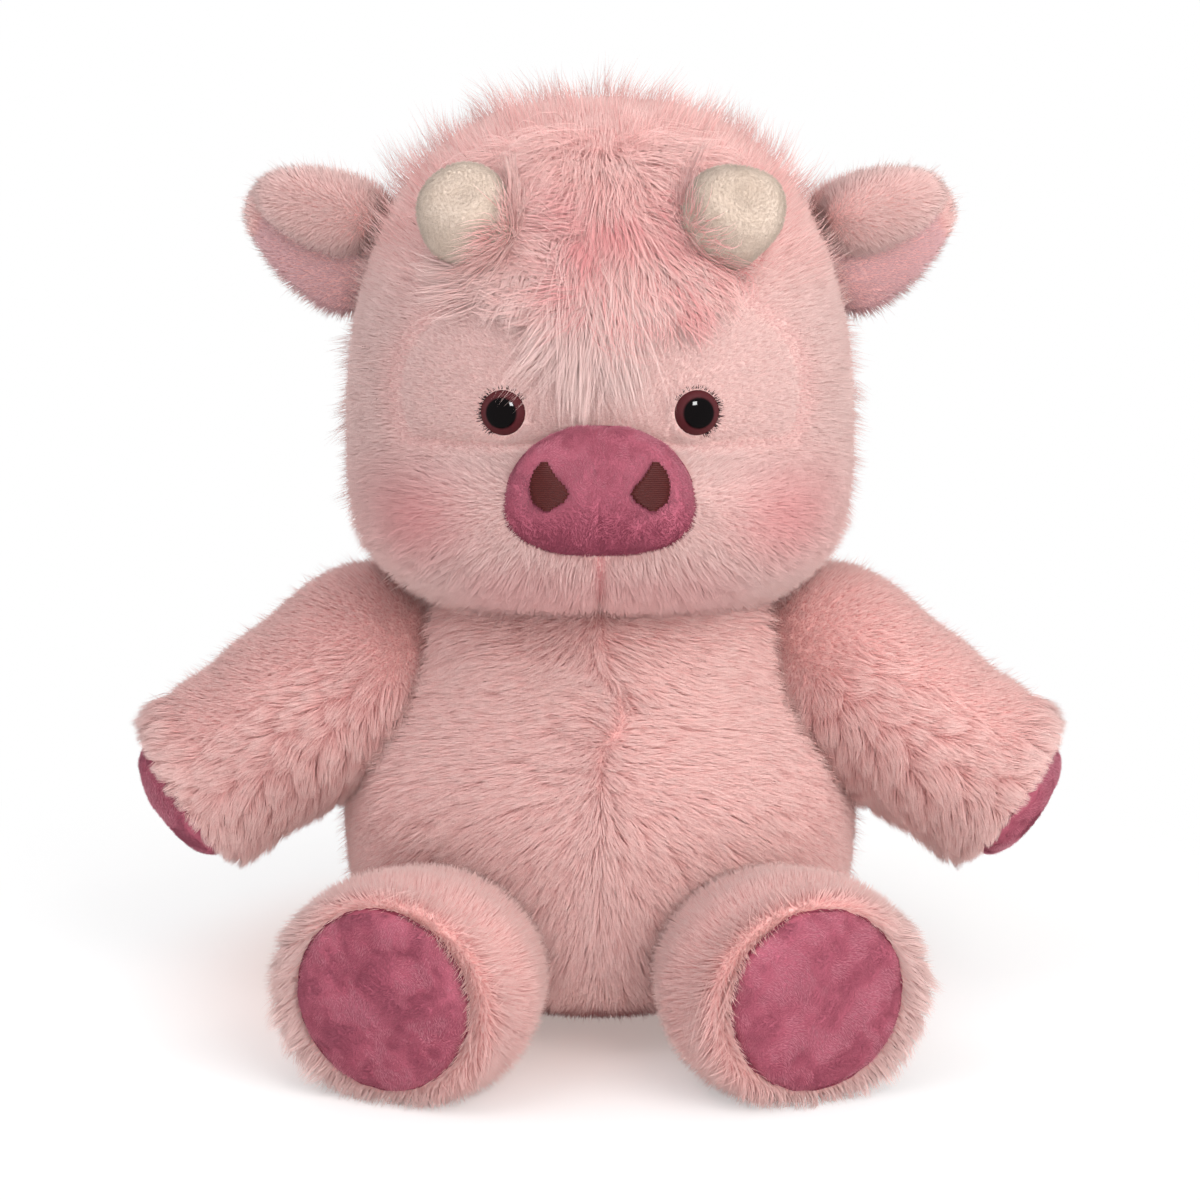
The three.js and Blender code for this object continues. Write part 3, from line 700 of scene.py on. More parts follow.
@dataclass(frozen=True)
class ThreadFinish(Finish):
    """Sewing thread: fine strands twisted together."""

    deep: Colour
    light: Colour
    roughness: float = 0.6

    def shade(self, board: Board, shader: Node) -> None:
        """Colours the thread by its fibres."""
        fibres = board.shared(Group.NAP, {"Patch Scale": 300.0, "Fibre Scale": 2600.0}).outputs["Fibres"]
        board.put(shader, {"Base Color": board.mix(fibres, self.deep, self.light), "Roughness": self.roughness,
                           "Specular IOR Level": 0.2})
        board.raise_nap(shader, fibres, 0.3)


@dataclass(frozen=True)
class EyeFinish(Finish):
    """Polished plastic, black in the middle and brown at the rim."""

    middle: Colour
    rim: Colour

    def shade(self, board: Board, shader: Node) -> None:
        """Colours the dome by how near its rim each point lies."""
        share = board.span(board.kept("rim"), 0.6, 0.72)
        board.put(shader, {"Base Color": board.mix(share, self.middle, self.rim),
                           "Roughness": board.span(board.noise(700.0, 3.0), 0.3, 0.8, 0.03, 0.07),
                           "Specular IOR Level": 0.08})


@dataclass(frozen=True)
class PlasticFinish(Finish):
    """Moulded plastic with a faint cloudiness."""

    deep: Colour
    light: Colour

    def shade(self, board: Board, shader: Node) -> None:
        """Colours the plastic by its clouds."""
        cloud = board.noise(420.0, 4.0)
        board.put(shader, {"Base Color": board.mix(cloud, self.deep, self.light),
                           "Roughness": board.span(cloud, 0.3, 0.7, 0.28, 0.42)})


# The last colour is the cheeks' deep pink, used as well for painted shade under the belly, in seams and partings and
# at the arms' roots.
PLUSH = PlushFinish("pink_pile", tint(234, 154, 151), tint(246, 187, 182), tint(252, 214, 208),
                    tint(222, 179, 175), tint(236, 205, 200), tint(226, 136, 140))
GROUND = GroundFinish("plush_ground", PLUSH)
VELOUR = NapFinish("rose_velour", tint(140, 64, 82), tint(184, 98, 118), patch_scale=70.0, fibre_scale=1150.0,
                   bump=0.6, roughness=0.75, sheen=0.25)
# On the velour nap the pale colours also serve as painted sheen and the last colour as painted shade.
VELOUR_NAP = PlushFinish("velour_nap", tint(154, 76, 94), tint(194, 106, 126), tint(214, 134, 151),
                         tint(180, 100, 120), tint(232, 166, 180), tint(132, 58, 78), roughness=0.7,
                         sheen=0.3)
FLEECE = NapFinish("cream_fleece", tint(200, 180, 164), tint(214, 196, 182), patch_scale=70.0, fibre_scale=1100.0,
                   bump=0.3, roughness=0.9, sheen=0.2)
FLEECE_NAP = PlushFinish("fleece_nap", tint(196, 176, 160), tint(208, 189, 174), tint(219, 202, 188),
                         tint(196, 176, 160), tint(208, 190, 176), tint(196, 176, 160))
LINING = PlushFinish("ear_lining", tint(204, 148, 152), tint(222, 174, 177), tint(232, 192, 193),
                     tint(222, 174, 177), tint(232, 192, 193), tint(222, 174, 177))
FIBRE = NapFinish("white_fibre", tint(214, 210, 202), tint(240, 238, 232), patch_scale=160.0, fibre_scale=900.0,
                  bump=0.8, roughness=0.95, sheen=0.2)
SEAM_THREAD = ThreadFinish("seam_thread", tint(112, 38, 56), tint(146, 62, 82))
NOSTRIL_THREAD = ThreadFinish("nostril_thread", tint(42, 8, 8), tint(92, 26, 22))
LASH = ThreadFinish("lash_brown", tint(32, 14, 18), tint(56, 28, 32))
EYE = EyeFinish("domed_eye", tint(6, 3, 4), tint(78, 36, 40))
PLASTIC = PlasticFinish("clear_washer", tint(206, 206, 204), tint(232, 232, 230))


# Pile


@dataclass(frozen=True)
class Coat:
    """How a stretch of pile is cut and combed.

    Angles are from the surface's outward direction, in degrees. Locks are strands whose tips draw
    together.
    """

    length: float
    density: float
    rise: float = 28.0
    lie: float = 68.0
    uneven: float = 0.2
    stray: float = 12.0
    tilt: float = 5.0
    thickness: float = 0.2
    lock: float = 4.0
    gather: float = 0.55
    segments: int = 2
    soft: float = 0.85
    floor: float = 0.5

    def grow(self, name: str, roots: Roots, flow: Array, finish: PlushFinish, length: Array | None = None,
             pale: Array | None = None, blush: Array | None = None,
             drape: Distance | None = None) -> list[Piece]:
        """Strands on the given spots, shared out over as many pieces as they need.

        Args:
            name: the piece's name.
            roots: the spots.
            flow: the way that the pile is combed at each spot.
            finish: the strands' finish.
            length: a factor on the length at each spot.
            pale: the share of the pale colours at each spot.
            blush: the share of the deep pink at each spot: the cheeks' own pink in some places, painted shade in
                others.
            drape: tells how far outside a form points lie, for strands that hang on it.

        Returns:
            The pieces.
        """
        rng = drawn(name)
        count = len(roots.points)
        none = np.zeros(count)
        normals = roots.normals
        stray = np.radians(rng.normal(0, self.stray, count))[:, None]
        along = combed(flow, normals)
        across = np.cross(normals, along)
        along = along * np.cos(stray) + across * np.sin(stray)
        tilt = rng.normal(0, self.tilt, count)
        cut = np.ones(count) if length is None else length
        lie = self.rise + (self.lie - self.rise) * np.minimum(cut, 1)
        rise, lie = np.radians(self.rise + tilt)[:, None], np.radians(lie + tilt)[:, None]
        leave = normals * np.cos(rise) + along * np.sin(rise)
        reach = normals * np.cos(lie) + along * np.sin(lie)
        size = self.length * (1 + rng.uniform(-self.uneven, self.uneven, count))
        size = (size * cut)[:, None]
        shares = np.linspace(0, 1, self.segments + 1)
        middles = np.stack([roots.points + size * (leave * (s - s * s / 2) + reach * s * s / 2) for s in shares], 1)
        middles = self.locked(middles, rng)
        if drape is not None:
            limit = rng.uniform(1.5, 9.0, (count, 1)) * (0.35 + 0.65 * np.sin(math.pi * shares * 0.8))[None]
            middles -= normals[:, None] * np.maximum(drape(middles) - limit, 0)[..., None]
        middles[:, :, 2] = np.maximum(middles[:, :, 2], self.floor)
        chance = np.clip(0.5 + rng.normal(0, 0.22, count), 0, 1)
        values = {"chance": chance, "pale": none if pale is None else pale, "blush": none if blush is None else blush}
        parts = self.shared_out(roots.points)
        pieces = []
        for number, part in enumerate(parts, 1):
            title = name if len(parts) == 1 else f"{name}_{number}"
            own = {label: value[part] for label, value in values.items()}
            pieces.append(self.strands(title, middles[part], normals[part], shares, own, finish, rng))
        return pieces

    def shared_out(self, points: Array) -> list[Array]:
        """The numbers of the strands in each piece, side by side along the longest way."""
        parts = math.ceil(len(points) * (6 * self.segments - 2) / FACES_A_PIECE)
        order = np.argsort(points[:, np.argmax(np.ptp(points, axis=0))], kind="stable")
        return [np.sort(part) for part in np.array_split(order, max(1, parts))]

    def locked(self, middles: Array, rng: np.random.Generator) -> Array:
        """Draws the tips of neighbouring strands together.

        Args:
            middles: the strands' lines, by strand and by place along it.
            rng: the random draw.

        Returns:
            The lines after the pull.
        """
        count = len(middles)
        if self.gather <= 0 or count < 10:
            return middles
        spots = middles[:, 0]
        extent = spots.max(0) - spots.min(0)
        leaders = rng.permutation(count)[:max(4, int(count / max(1.0, self.density * self.lock**2)))]
        tree = KDTree(len(leaders))
        for place, leader in enumerate(leaders):
            tree.insert(spots[leader] + rng.normal(0, 0.02, 3) * extent.max() * 0.01, place)
        tree.balance()
        nearest = leaders[np.array([tree.find(spot)[1] for spot in spots])]
        shares = np.linspace(0, 1, middles.shape[1])[None, :, None]
        pull = self.gather * shares**1.4 * rng.uniform(0.6, 1.0, (count, 1, 1))
        return middles + pull * (middles[nearest] - middles)

    def strands(self, name: str, middles: Array, normals: Array, shares: Array, values: dict[str, Array],
                finish: PlushFinish, rng: np.random.Generator) -> Piece:
        """Tapered three-sided strands, each a closed mesh, as one object.

        Args:
            name: the piece's name.
            middles: the strands' lines, by strand and by place along it.
            normals: the surface's outward direction at each root.
            shares: the places along a strand, from 0 to 1.
            values: an attribute's value by strand, by its name.
            finish: the strands' finish.
            rng: the random draw.

        Returns:
            The object.
        """
        count, rings = len(middles), self.segments
        ways = unit(np.gradient(middles, axis=1))
        spin = unit(rng.normal(size=(count, 1, 3)))
        first = unit(np.cross(ways, spin))
        second = np.cross(ways, first)
        turn = np.arange(3) * 2 * math.pi / 3
        spokes = np.cos(turn)[:, None] * first[:, :rings, None] + np.sin(turn)[:, None] * second[:, :rings, None]
        width = self.thickness * (1 - shares[:rings]) ** 0.55
        skins = middles[:, :rings, None] + spokes * width[None, :, None, None]
        points = np.concatenate([skins.reshape(count, -1, 3), middles[:, -1:]], 1)
        facing = unit(spokes * (1 - self.soft) + normals[:, None, None] * self.soft).reshape(count, -1, 3)
        end = unit(ways[:, -1:] * (1 - self.soft) + normals[:, None] * self.soft)
        facing = np.concatenate([facing, end], 1)
        corners, starts = self.faces()
        each = points.shape[1]
        mesh = bpy.data.meshes.new(name)
        mesh.vertices.add(count * each)
        mesh.vertices.foreach_set("co", (points * MM).astype(np.float32).ravel())
        loops = (corners[None] + np.arange(count)[:, None] * each).ravel()
        mesh.loops.add(len(loops))
        mesh.loops.foreach_set("vertex_index", loops.astype(np.int32))
        first_loops = (starts[None] + np.arange(count)[:, None] * len(corners)).ravel()
        mesh.polygons.add(len(first_loops))
        mesh.polygons.foreach_set("loop_start", first_loops.astype(np.int32))
        mesh.update(calc_edges=True)
        mesh.shade_smooth()
        places = np.append(np.repeat(shares[:rings], 3), 1.0)
        put_value(mesh, "along", np.tile(places, count))
        for label, value in values.items():
            put_value(mesh, label, np.repeat(value, each))
        self.lay_out(mesh, count, places)
        mesh.normals_split_custom_set_from_vertices(facing.reshape(-1, 3))
        mesh.materials.append(finish.material())
        return shown(name, mesh)

    def faces(self) -> tuple[Array, Array]:
        """The corners of one strand's faces in a row, and where each face starts."""
        faces = [[2, 1, 0]]
        for ring in range(self.segments - 1):
            low, high = 3 * ring, 3 * ring + 3
            faces += [[low + k, low + (k + 1) % 3, high + (k + 1) % 3, high + k] for k in range(3)]
        low, tip = 3 * (self.segments - 1), 3 * self.segments
        faces += [[low + k, low + (k + 1) % 3, tip] for k in range(3)]
        starts = np.cumsum([0] + [len(face) for face in faces[:-1]])
        return np.concatenate([np.array(face) for face in faces]), starts

    def lay_out(self, mesh: Mesh, count: int, places: Array) -> None:
        """Gives each strand a small cell of its own on a UV map that colours can be baked to.

        Args:
            mesh: the strands' mesh.
            count: how many strands it has.
            places: how far along a strand each of its points lies.
        """
        corners, _ = self.faces()
        across = np.append(np.tile([0.15, 0.5, 0.85], self.segments), 0.5)
        spots = np.stack([across, 0.1 + 0.8 * places], 1)[corners]
        cells = math.ceil(math.sqrt(count))
        cell = np.stack([np.arange(count) % cells, np.arange(count) // cells], 1)
        uv = (cell[:, None] + spots[None]) / cells
        layer = mesh.uv_layers.new(name="OFBake")
        layer.data.foreach_set("uv", uv.astype(np.float32).ravel())


def put_value(mesh: Mesh, label: str, values: Array) -> None:
    """Keeps a value at each point of a mesh under a name."""
    mesh.attributes.new(label, "FLOAT", "POINT").data.foreach_set("value", values.astype(np.float32))


def worn(pieces: list[Piece], node: str, carrier: str | Callable[[Piece], object]) -> None:
    """Hides a panel and hangs stretches of pile in its place.

    Args:
        pieces: the stretches of pile.
        node: the panel.
        carrier: the body that they ride, or what is done to each piece instead.
    """
    for piece in pieces:
        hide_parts(node)
        if isinstance(carrier, str):
            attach(piece, carrier)
        else:
            carrier(piece)


NAP = Coat(length=4.0, density=3.6, rise=20, lie=52, stray=14, thickness=0.16, gather=0.0, segments=1, soft=0.93)
WISPS = Coat(length=6.0, density=0.3, rise=8, lie=45.0, uneven=0.4, stray=35, tilt=12, thickness=0.075, gather=0.0,
             segments=2, soft=0.9)


@dataclass(frozen=True)
class Velour:
    """Short velour nap that lies in patches brushed different ways."""

    patch: float = 16.0
    sway: float = 0.7
    coat: Coat = replace(NAP, length=1.1, density=6.0, rise=12, lie=45, uneven=0.25, stray=18, tilt=8, thickness=0.1,
                         soft=0.8)

    def grow(self, name: str, roots: Roots, pale: Array, dark: Array) -> list[Piece]:
        """The nap on the given spots, with shares of the pale and of the dark colours and with painted sheen from the
        way each patch is brushed.

        Args:
            name: the piece's name.
            roots: the spots.
            pale: the share of the pale colours at each spot.
            dark: the share of the dark colour at each spot.

        Returns:
            The pieces.
        """
        seed = zlib.crc32(name.encode()) % 1000
        aside, rise = (0.65 * Drift(seed + k, self.patch).at(roots.points)[:, None]
                       + 0.4 * Drift(seed + k + 2, self.patch * 0.35).at(roots.points)[:, None] for k in range(2))
        flow = combed(aside * np.array([1.0, 0.3, 0]) + (rise - 0.3) * UP, roots.normals)
        strength = np.minimum(np.hypot(aside, rise), 1)
        swept = Roots(roots.points, unit(roots.normals + self.sway * strength * flow))
        # Painted sheen: patches brushed one way are painted paler and those brushed the other way darker, on top of
        # the real lean of their strands.
        shine = np.clip(0.75 * (aside - rise)[:, 0], -0.6, 0.6)
        return self.coat.grow(name, swept, flow, VELOUR_NAP, pale=np.maximum(pale, shine),
                              blush=np.maximum(-shine, dark))


# Sub-assemblies


@dataclass
class Torso:
    """The body: a stuffed barrel with a rounded top that the head sits on."""

    seat_radius: float = 46.0
    belly_radius: float = 76.0
    belly_height: float = 57.0
    neck_radius: float = 56.0
    neck_height: float = 98.0
    pile_depth: float = 1.4
    shag_depth: float = 0.8
    lap_depth: float = 14.0
    knot_height: float = 98.0
    collar_height: float = 128.0
    nape_rise: float = 12.0
    coat: Coat = NAP
    shag_coat: Coat = Coat(length=10.0, density=4.6, lie=72, stray=14, thickness=0.1, lock=3.4, gather=0.36,
                           segments=2, soft=0.9)

    def profile(self, inset: float) -> Array:
        """The outline of the body.

        Args:
            inset: how far inside the solid it lies.

        Returns:
            Radius and height of each of its points.
        """
        neck, belly = self.neck_radius - inset, self.belly_radius - inset
        seat, floor = self.seat_radius - inset, min(inset, 1.0)
        shoulder = math.radians(10)
        top = np.array([neck * math.cos(shoulder), self.neck_height + neck * math.sin(shoulder)])
        fall = (top[1] - self.belly_height) * 0.42
        low = bezier((seat, floor), (seat + (belly - seat) * 0.7, floor),
                     (belly, floor + (self.belly_height - floor) * 0.4), (belly, self.belly_height))
        high = bezier((belly, self.belly_height), (belly, self.belly_height + fall),
                      (top[0] + fall * math.sin(shoulder), top[1] - fall * math.cos(shoulder)), top)
        turn = np.linspace(shoulder, math.pi / 2, 14)
        dome = np.stack([neck * np.cos(turn), self.neck_height + neck * np.sin(turn)], 1)
        path = np.vstack([[(0, floor)], low, high[1:], dome[1:]])
        path[-1, 0] = 0
        return evened(path, 3.0)

    def surface(self) -> Surface:
        """The cloth that the pile stands on."""
        surface = spindle(self.profile(self.pile_depth), (0, 0, 0), (0, 0, 1), 120)
        x, y, z = surface.points.T
        lap = ease(22, 10, z) * ease(48, 28, np.abs(x)) * ease(-20, -40, y)
        inwards = unit(surface.points * (1, 1, 0)) * (self.lap_depth * lap)[:, None]
        return surface.moved(-self.shag_depth * surface.normals() * self.shag(surface.points)[:, None] - inwards)

    def shag(self, points: Array) -> Array:
        """The share of long pile: all of it on the belly and none at the sides, below and behind."""
        x, y, z = points.T
        aside = ease(1, 0.6, np.abs(x) / (48 + 20 * ease(40, 80, z))) * ease(-10, -40, y)
        return aside * ease(12, 26, z) * (1 - 0.5 * ease(106, 120, z))

    def swirl(self, points: Array) -> Array:
        """How far the pile of the chest is ruffled, from about -1 to 1."""
        return Drift(3, 34).at(points) * ease(70, 104, points[:, 2])

    def aside(self, points: Array) -> Array:
        """How far the pile leans to the sides: 0 along the parting."""
        return points[:, 0] / (np.abs(points[:, 0]) + 8) + 0.4 * self.swirl(points)

    def flow(self, roots: Roots) -> Array:
        """Pile parts down the middle of the belly, feathers out to the sides and hangs down behind.

        Args:
            roots: the spots.

        Returns:
            The way that it is combed at each spot.
        """
        points = roots.points
        front = ease(15, -35, points[:, 1])[:, None]
        swirl, aside = self.swirl(points), self.aside(points)
        fall = 0.26 + 0.9 * ease(92, 42, points[:, 2]) + 0.2 * swirl
        fan = np.stack([aside, 0.15 + 0 * fall, -fall], 1)
        hang = np.array([0, 0, -1.0]) + unit(points * (1, 1, 0)) * 0.15
        return fan * front + hang * (1 - front)

    def build(self, limbs: list["Limb"]) -> None:
        """Makes the stuffed body and its pile, panel by panel.

        Args:
            limbs: the limbs, whose roots stay bare.
        """
        surface = self.surface()
        skin = surface.piece("body_cloth", GROUND.material())
        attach(skin, "body")
        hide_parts("seat_panel", "bean_bag", "body_stuffing")
        for coat, word in ((self.coat, "nap"), (self.shag_coat, "shag"), (WISPS, "wisps")):
            roots = surface.roots(coat.density, f"body_{word}")
            shag = self.shag(roots.points)
            part = bell(self.aside(roots.points), 0.5)
            share = {"nap": 1 - 0.4 * shag * (1 - part), "shag": shag, "wisps": 1 - shag}[word]
            roots = self.bare(roots.thinned(share, word), limbs)
            for end, facing in (("front", -1), ("back", 1)):
                for side in Side:
                    here = (roots.points[:, 1] * facing >= 0) & (roots.points[:, 0] * side.value > 0)
                    self.panel(f"body_{end}_{side.word}", word, coat, roots.kept(here))

    def outside(self, points: Array) -> Array:
        """How far outside the cloth points lie, near enough."""
        barrel = self.profile(self.pile_depth)
        return np.linalg.norm(points[:, :2], axis=1) - np.interp(points[:, 2], barrel[1:, 1], barrel[1:, 0])

    def bare(self, roots: Roots, limbs: list["Limb"]) -> Roots:
        """The spots that head and limbs leave free.

        Args:
            roots: the spots.
            limbs: the limbs.

        Returns:
            The spots that are left.
        """
        points = roots.points
        covered = points[:, 2] < 2.5
        for limb in limbs:
            covered |= far_from(points, limb.pivot) < limb.ball - 9
        neck = far_from(points, (0, 0, self.neck_height))
        under_head = self.collar_height + self.nape_rise * ease(-5, 20, points[:, 1])
        return roots.kept(~covered & ~((points[:, 2] > under_head) & (neck < self.neck_radius)))

    def panel(self, node: str, word: str, coat: Coat, roots: Roots) -> None:
        """Makes one coat of a panel.

        Args:
            node: the panel.
            word: the coat's word in the piece's name.
            coat: how it is cut and combed.
            roots: the spots.
        """
        if len(roots.points) < 20:
            return
        x, y, z = roots.points.T
        low = 0.6 + 0.4 * ease(0, 20, z)
        part = bell(self.aside(roots.points), 0.45) * self.shag(roots.points)
        knot = part * bell(z - self.knot_height, 14)
        # Painted shade: low on the belly's front, where it turns under between the legs, the pile is given deep pink
        # for the shade there.
        lap = ease(20, 7, z) * ease(50, 30, np.abs(x)) * ease(-10, -30, y)
        pile = coat.grow(f"{node}_{word}", roots, self.flow(roots), PLUSH, length=low * (1 - 0.4 * knot),
                         pale=0.3 * part, blush=0.75 * lap)
        worn(pile, node, "body")


@dataclass
class Limb:
    """An arm or leg: a stuffed tube with a rounded root and a velour pad on its end."""

    stem: str
    side: Side
    root: Point
    way: Point
    ball: float
    girth: float
    girth_at: float
    wrist: float
    length: float
    pad_radius: float
    pad_dome: float
    bend: tuple[float, float]
    sunk: float = 1.0
    puff: float = 0.0
    wide: float = 0.0
    above: tuple[tuple[float, ...], tuple[float, ...]] = ((0.0,), (0.0,))
    below: tuple[tuple[float, ...], tuple[float, ...]] = ((0.0,), (0.0,))
    pile_depth: float = 1.6
    coat: Coat = replace(NAP, length=4.2)
    shag_coat: Coat = Coat(length=9.5, density=4.2, lie=70, thickness=0.1, lock=4.0, gather=0.6, segments=2,
                           soft=0.88)

    @property
    def body(self) -> str:
        """The body that the limb is."""
        return f"{self.stem}_{self.side.word}"

    @property
    def pivot(self) -> Array:
        """The middle of its rounded root."""
        return self.side.mirrored(self.root)

    @property
    def axis(self) -> Array:
        """The way it runs from its root."""
        return unit(self.side.mirrored(self.way))

    def profile(self) -> Array:
        """Radius and place along the limb of its cloth."""
        inset = self.pile_depth
        ball, girth, wrist = self.ball - inset, self.girth - inset, self.wrist - inset + 0.5
        turn = np.linspace(-math.pi / 2, 0, 12)
        root = np.stack([ball * np.cos(turn), self.sunk * ball * np.sin(turn)], 1)
        swell = bezier((ball, 0), (ball, self.girth_at / 2), (girth, self.girth_at / 2), (girth, self.girth_at))
        half = (self.girth_at + self.length - 6) / 2
        taper = bezier((girth, self.girth_at), (girth, half), (wrist, half), (wrist, self.length - 6))
        rim = bezier((wrist, self.length - 6), (wrist + self.puff / 4, self.length - 1 + self.puff),
                     (wrist - 1, self.length - 1 + self.puff),
                     (self.pad_radius + 0.6, self.length - 1 + self.puff / 2))
        path = np.vstack([root, swell[1:], taper[1:], rim[1:], [(self.pad_radius - 2, self.length - 1.5)],
                          [(0, self.length - 1.5)]])
        path[0, 0] = 0
        return evened(path, 2.5)

    def place_along(self, points: Array) -> Array:
        """How far along the limb points lie."""
        return (points - self.pivot) @ self.axis

    def place_aside(self, points: Array) -> Array:
        """How far from the limb's middle line points lie."""
        return np.linalg.norm(points - self.pivot - np.outer(self.place_along(points), self.axis), axis=1)

    def spokes(self, points: Array) -> Array:
        """The way from the limb's middle line to points."""
        return unit(points - self.pivot - np.outer(self.place_along(points), self.axis))

    def shag(self, points: Array) -> Array:
        """The share of long pile: below an arm's parting and round its end, and at a foot's outer rim.

        Args:
            points: the points.

        Returns:
            A share for each point.
        """
        along, spokes = self.place_along(points), self.spokes(points)
        if self.stem == "arm":
            below = ease(0.75, 0.2, spokes @ combed(UP, self.axis)) * ease(-22, 0, along)
            return np.maximum(0.9 * below, ease(self.length - 18, self.length - 8, along))
        outer = ease(-0.35, 0.45, spokes @ unit(np.array([self.side.value * 1.0, 0, -0.7])))
        return ease(self.length - 13, self.length - 3, along) * (0.08 + 0.42 * outer)

    def build(self, outside: Distance) -> None:
        """Makes the limb's cloth, pile and pad.

        Args:
            outside: tells how far outside the body points lie.
        """
        surface = self.filled(spindle(self.profile(), self.pivot, self.axis, 72))
        skin = surface.piece(f"{self.body}_cloth", GROUND.material())
        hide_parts(f"{self.stem}_stuffing_{self.side.word}")
        self.bent(skin)
        for coat, word in ((self.coat, "nap"), (self.shag_coat, "shag"), (WISPS, "wisps")):
            roots = surface.roots(coat.density, f"{self.body}_{word}")
            shag = self.shag(roots.points)
            share = {"nap": 1 - 0.7 * shag, "shag": shag, "wisps": 1 - 0.4 * shag}[word]
            roots = roots.thinned(share, f"{self.body}_{word}_share")
            points = roots.points
            end = self.place_along(points) > self.length - 2.5
            flat = end & (self.place_aside(points) < self.pad_radius)
            self.pile(word, coat, roots.kept(~flat & (outside(points) > -5)))
        self.pad()

    def filled(self, surface: Surface) -> Surface:
        """The cloth as its stuffing leaves it: fuller or flatter above, below and at the sides.

        Args:
            surface: the cloth as it is cut.

        Returns:
            The filled cloth.
        """
        along, spokes = self.place_along(surface.points), self.spokes(surface.points)
        across = unit(np.cross(self.axis, UP))
        rise, aside = spokes @ combed(UP, self.axis), spokes @ across
        share = ease(0, 16, self.place_aside(surface.points))
        points = surface.points + np.outer(self.wide * aside * share * ease(-15, 10, along), across)
        points[:, 2] += share * np.interp(along, *self.above) * np.maximum(rise, 0) ** 0.8
        points[:, 2] += share * np.interp(along, *self.below) * np.maximum(-rise, 0) ** 0.8
        points[:, 2] = np.maximum(points[:, 2], 1.0)
        return surface.at(points)

    def bent(self, piece: Piece) -> None:
        """Bakes a piece's placing into its mesh; where it would bend along the limb is worked out but not used."""
        start, end = (self.pivot + self.axis * place for place in self.bend)
        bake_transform(piece)

    def pile(self, word: str, coat: Coat, roots: Roots) -> None:
        """Makes one coat of the limb.

        Args:
            word: the coat's word in the piece's name.
            coat: how it is cut and combed.
            roots: the spots.
        """
        along, spokes = self.place_along(roots.points), self.spokes(roots.points)
        rise = spokes @ combed(UP, self.axis)
        rim = ease(self.length - 9, self.length - 1, along)
        if self.stem == "arm":
            low = ease(0.2, -0.15, rise)[:, None]
            flow = (self.axis + 0.3 * combed(UP, self.axis)) * (1 - low) + (0.25 * self.axis - 0.9 * UP) * low
            pale = 0.35 * ease(self.length - 26, self.length, along)
            # Painted shade: near the arm's root the pile is given a little deep pink for the shade under the head.
            blush, cut = 0.05 * ease(14, -10, along), 1 - 0.55 * rim
        else:
            turn = ease(self.length - 14, self.length - 4, along)[:, None]
            flow = (spokes * 0.2 - self.axis) * (1 - turn) + (0.6 * spokes - 0.5 * UP) * turn
            pale, blush = np.minimum(1.7 * self.shag(roots.points), 0.9), 0 * rim
            cut = 1 - 0.3 * np.maximum(rise, 0)
        pile = coat.grow(f"{self.body}_{word}", roots, flow, PLUSH, length=cut, pale=pale, blush=blush)
        worn(pile, f"{self.stem}_cover_{self.side.word}", self.bent)

    def pad(self) -> None:
        """Makes the velour pad on the end."""
        low, rim, top = self.length - 4, self.length, self.length + self.pad_dome
        dome = bezier((self.pad_radius, rim), (self.pad_radius, rim + self.pad_dome * 0.75),
                      (self.pad_radius * 0.55, top), (0, top), 24)
        path = np.vstack([[(0, low)], [(self.pad_radius - 1, low)], [(self.pad_radius, low + 1)], dome])
        surface = spindle(evened(path, 1.2), self.pivot, self.axis, 120)
        lumps = Drift(zlib.crc32(self.body.encode()), 14).at(surface.points)[:, None] * 0.3
        surface = surface.moved(surface.normals() * lumps)
        surface.points[:, 2] = np.maximum(surface.points[:, 2], 0.8)
        pad = surface.piece(f"{self.body}_pad", VELOUR.material())
        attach(pad, self.body)
        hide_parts(f"{self.stem}_pad_{self.side.word}")
        roots = surface.roots(Velour().coat.density, pad.name)
        on_dome = self.place_along(roots.points) > rim
        roots = roots.kept(on_dome & (self.place_aside(roots.points) < self.pad_radius - 0.4))
        # Painted sheen: the nap is painted paler towards the pad's rim, for the glow at its edge.
        edge = ease(self.pad_radius - 5, self.pad_radius, self.place_aside(roots.points))
        nap = Velour().grow(f"{self.body}_pad_nap", roots, 0.3 * edge, 0 * edge)
        worn(nap, f"{self.stem}_pad_{self.side.word}", self.body)
        self.seam()

    def seam(self) -> None:
        """Makes the thread that sews the pad's rim to the cover."""
        across = unit(np.cross(self.axis, UP))
        turn = np.linspace(0, 2 * math.pi, 181)
        spokes = np.cos(turn)[:, None] * across + np.sin(turn)[:, None] * np.cross(self.axis, across)
        pull = 0.2 * np.sin(turn * 23) * np.sin(turn * 3 + 1)
        path = self.pivot + (self.pad_radius + 0.1 + pull)[:, None] * spokes + (self.length + 0.4) * self.axis
        path[:, 2] = np.maximum(path[:, 2], 0.8)
        thread = tubes(f"{self.body}_seam", [path], 0.3, SEAM_THREAD.material())
        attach(thread, self.body)


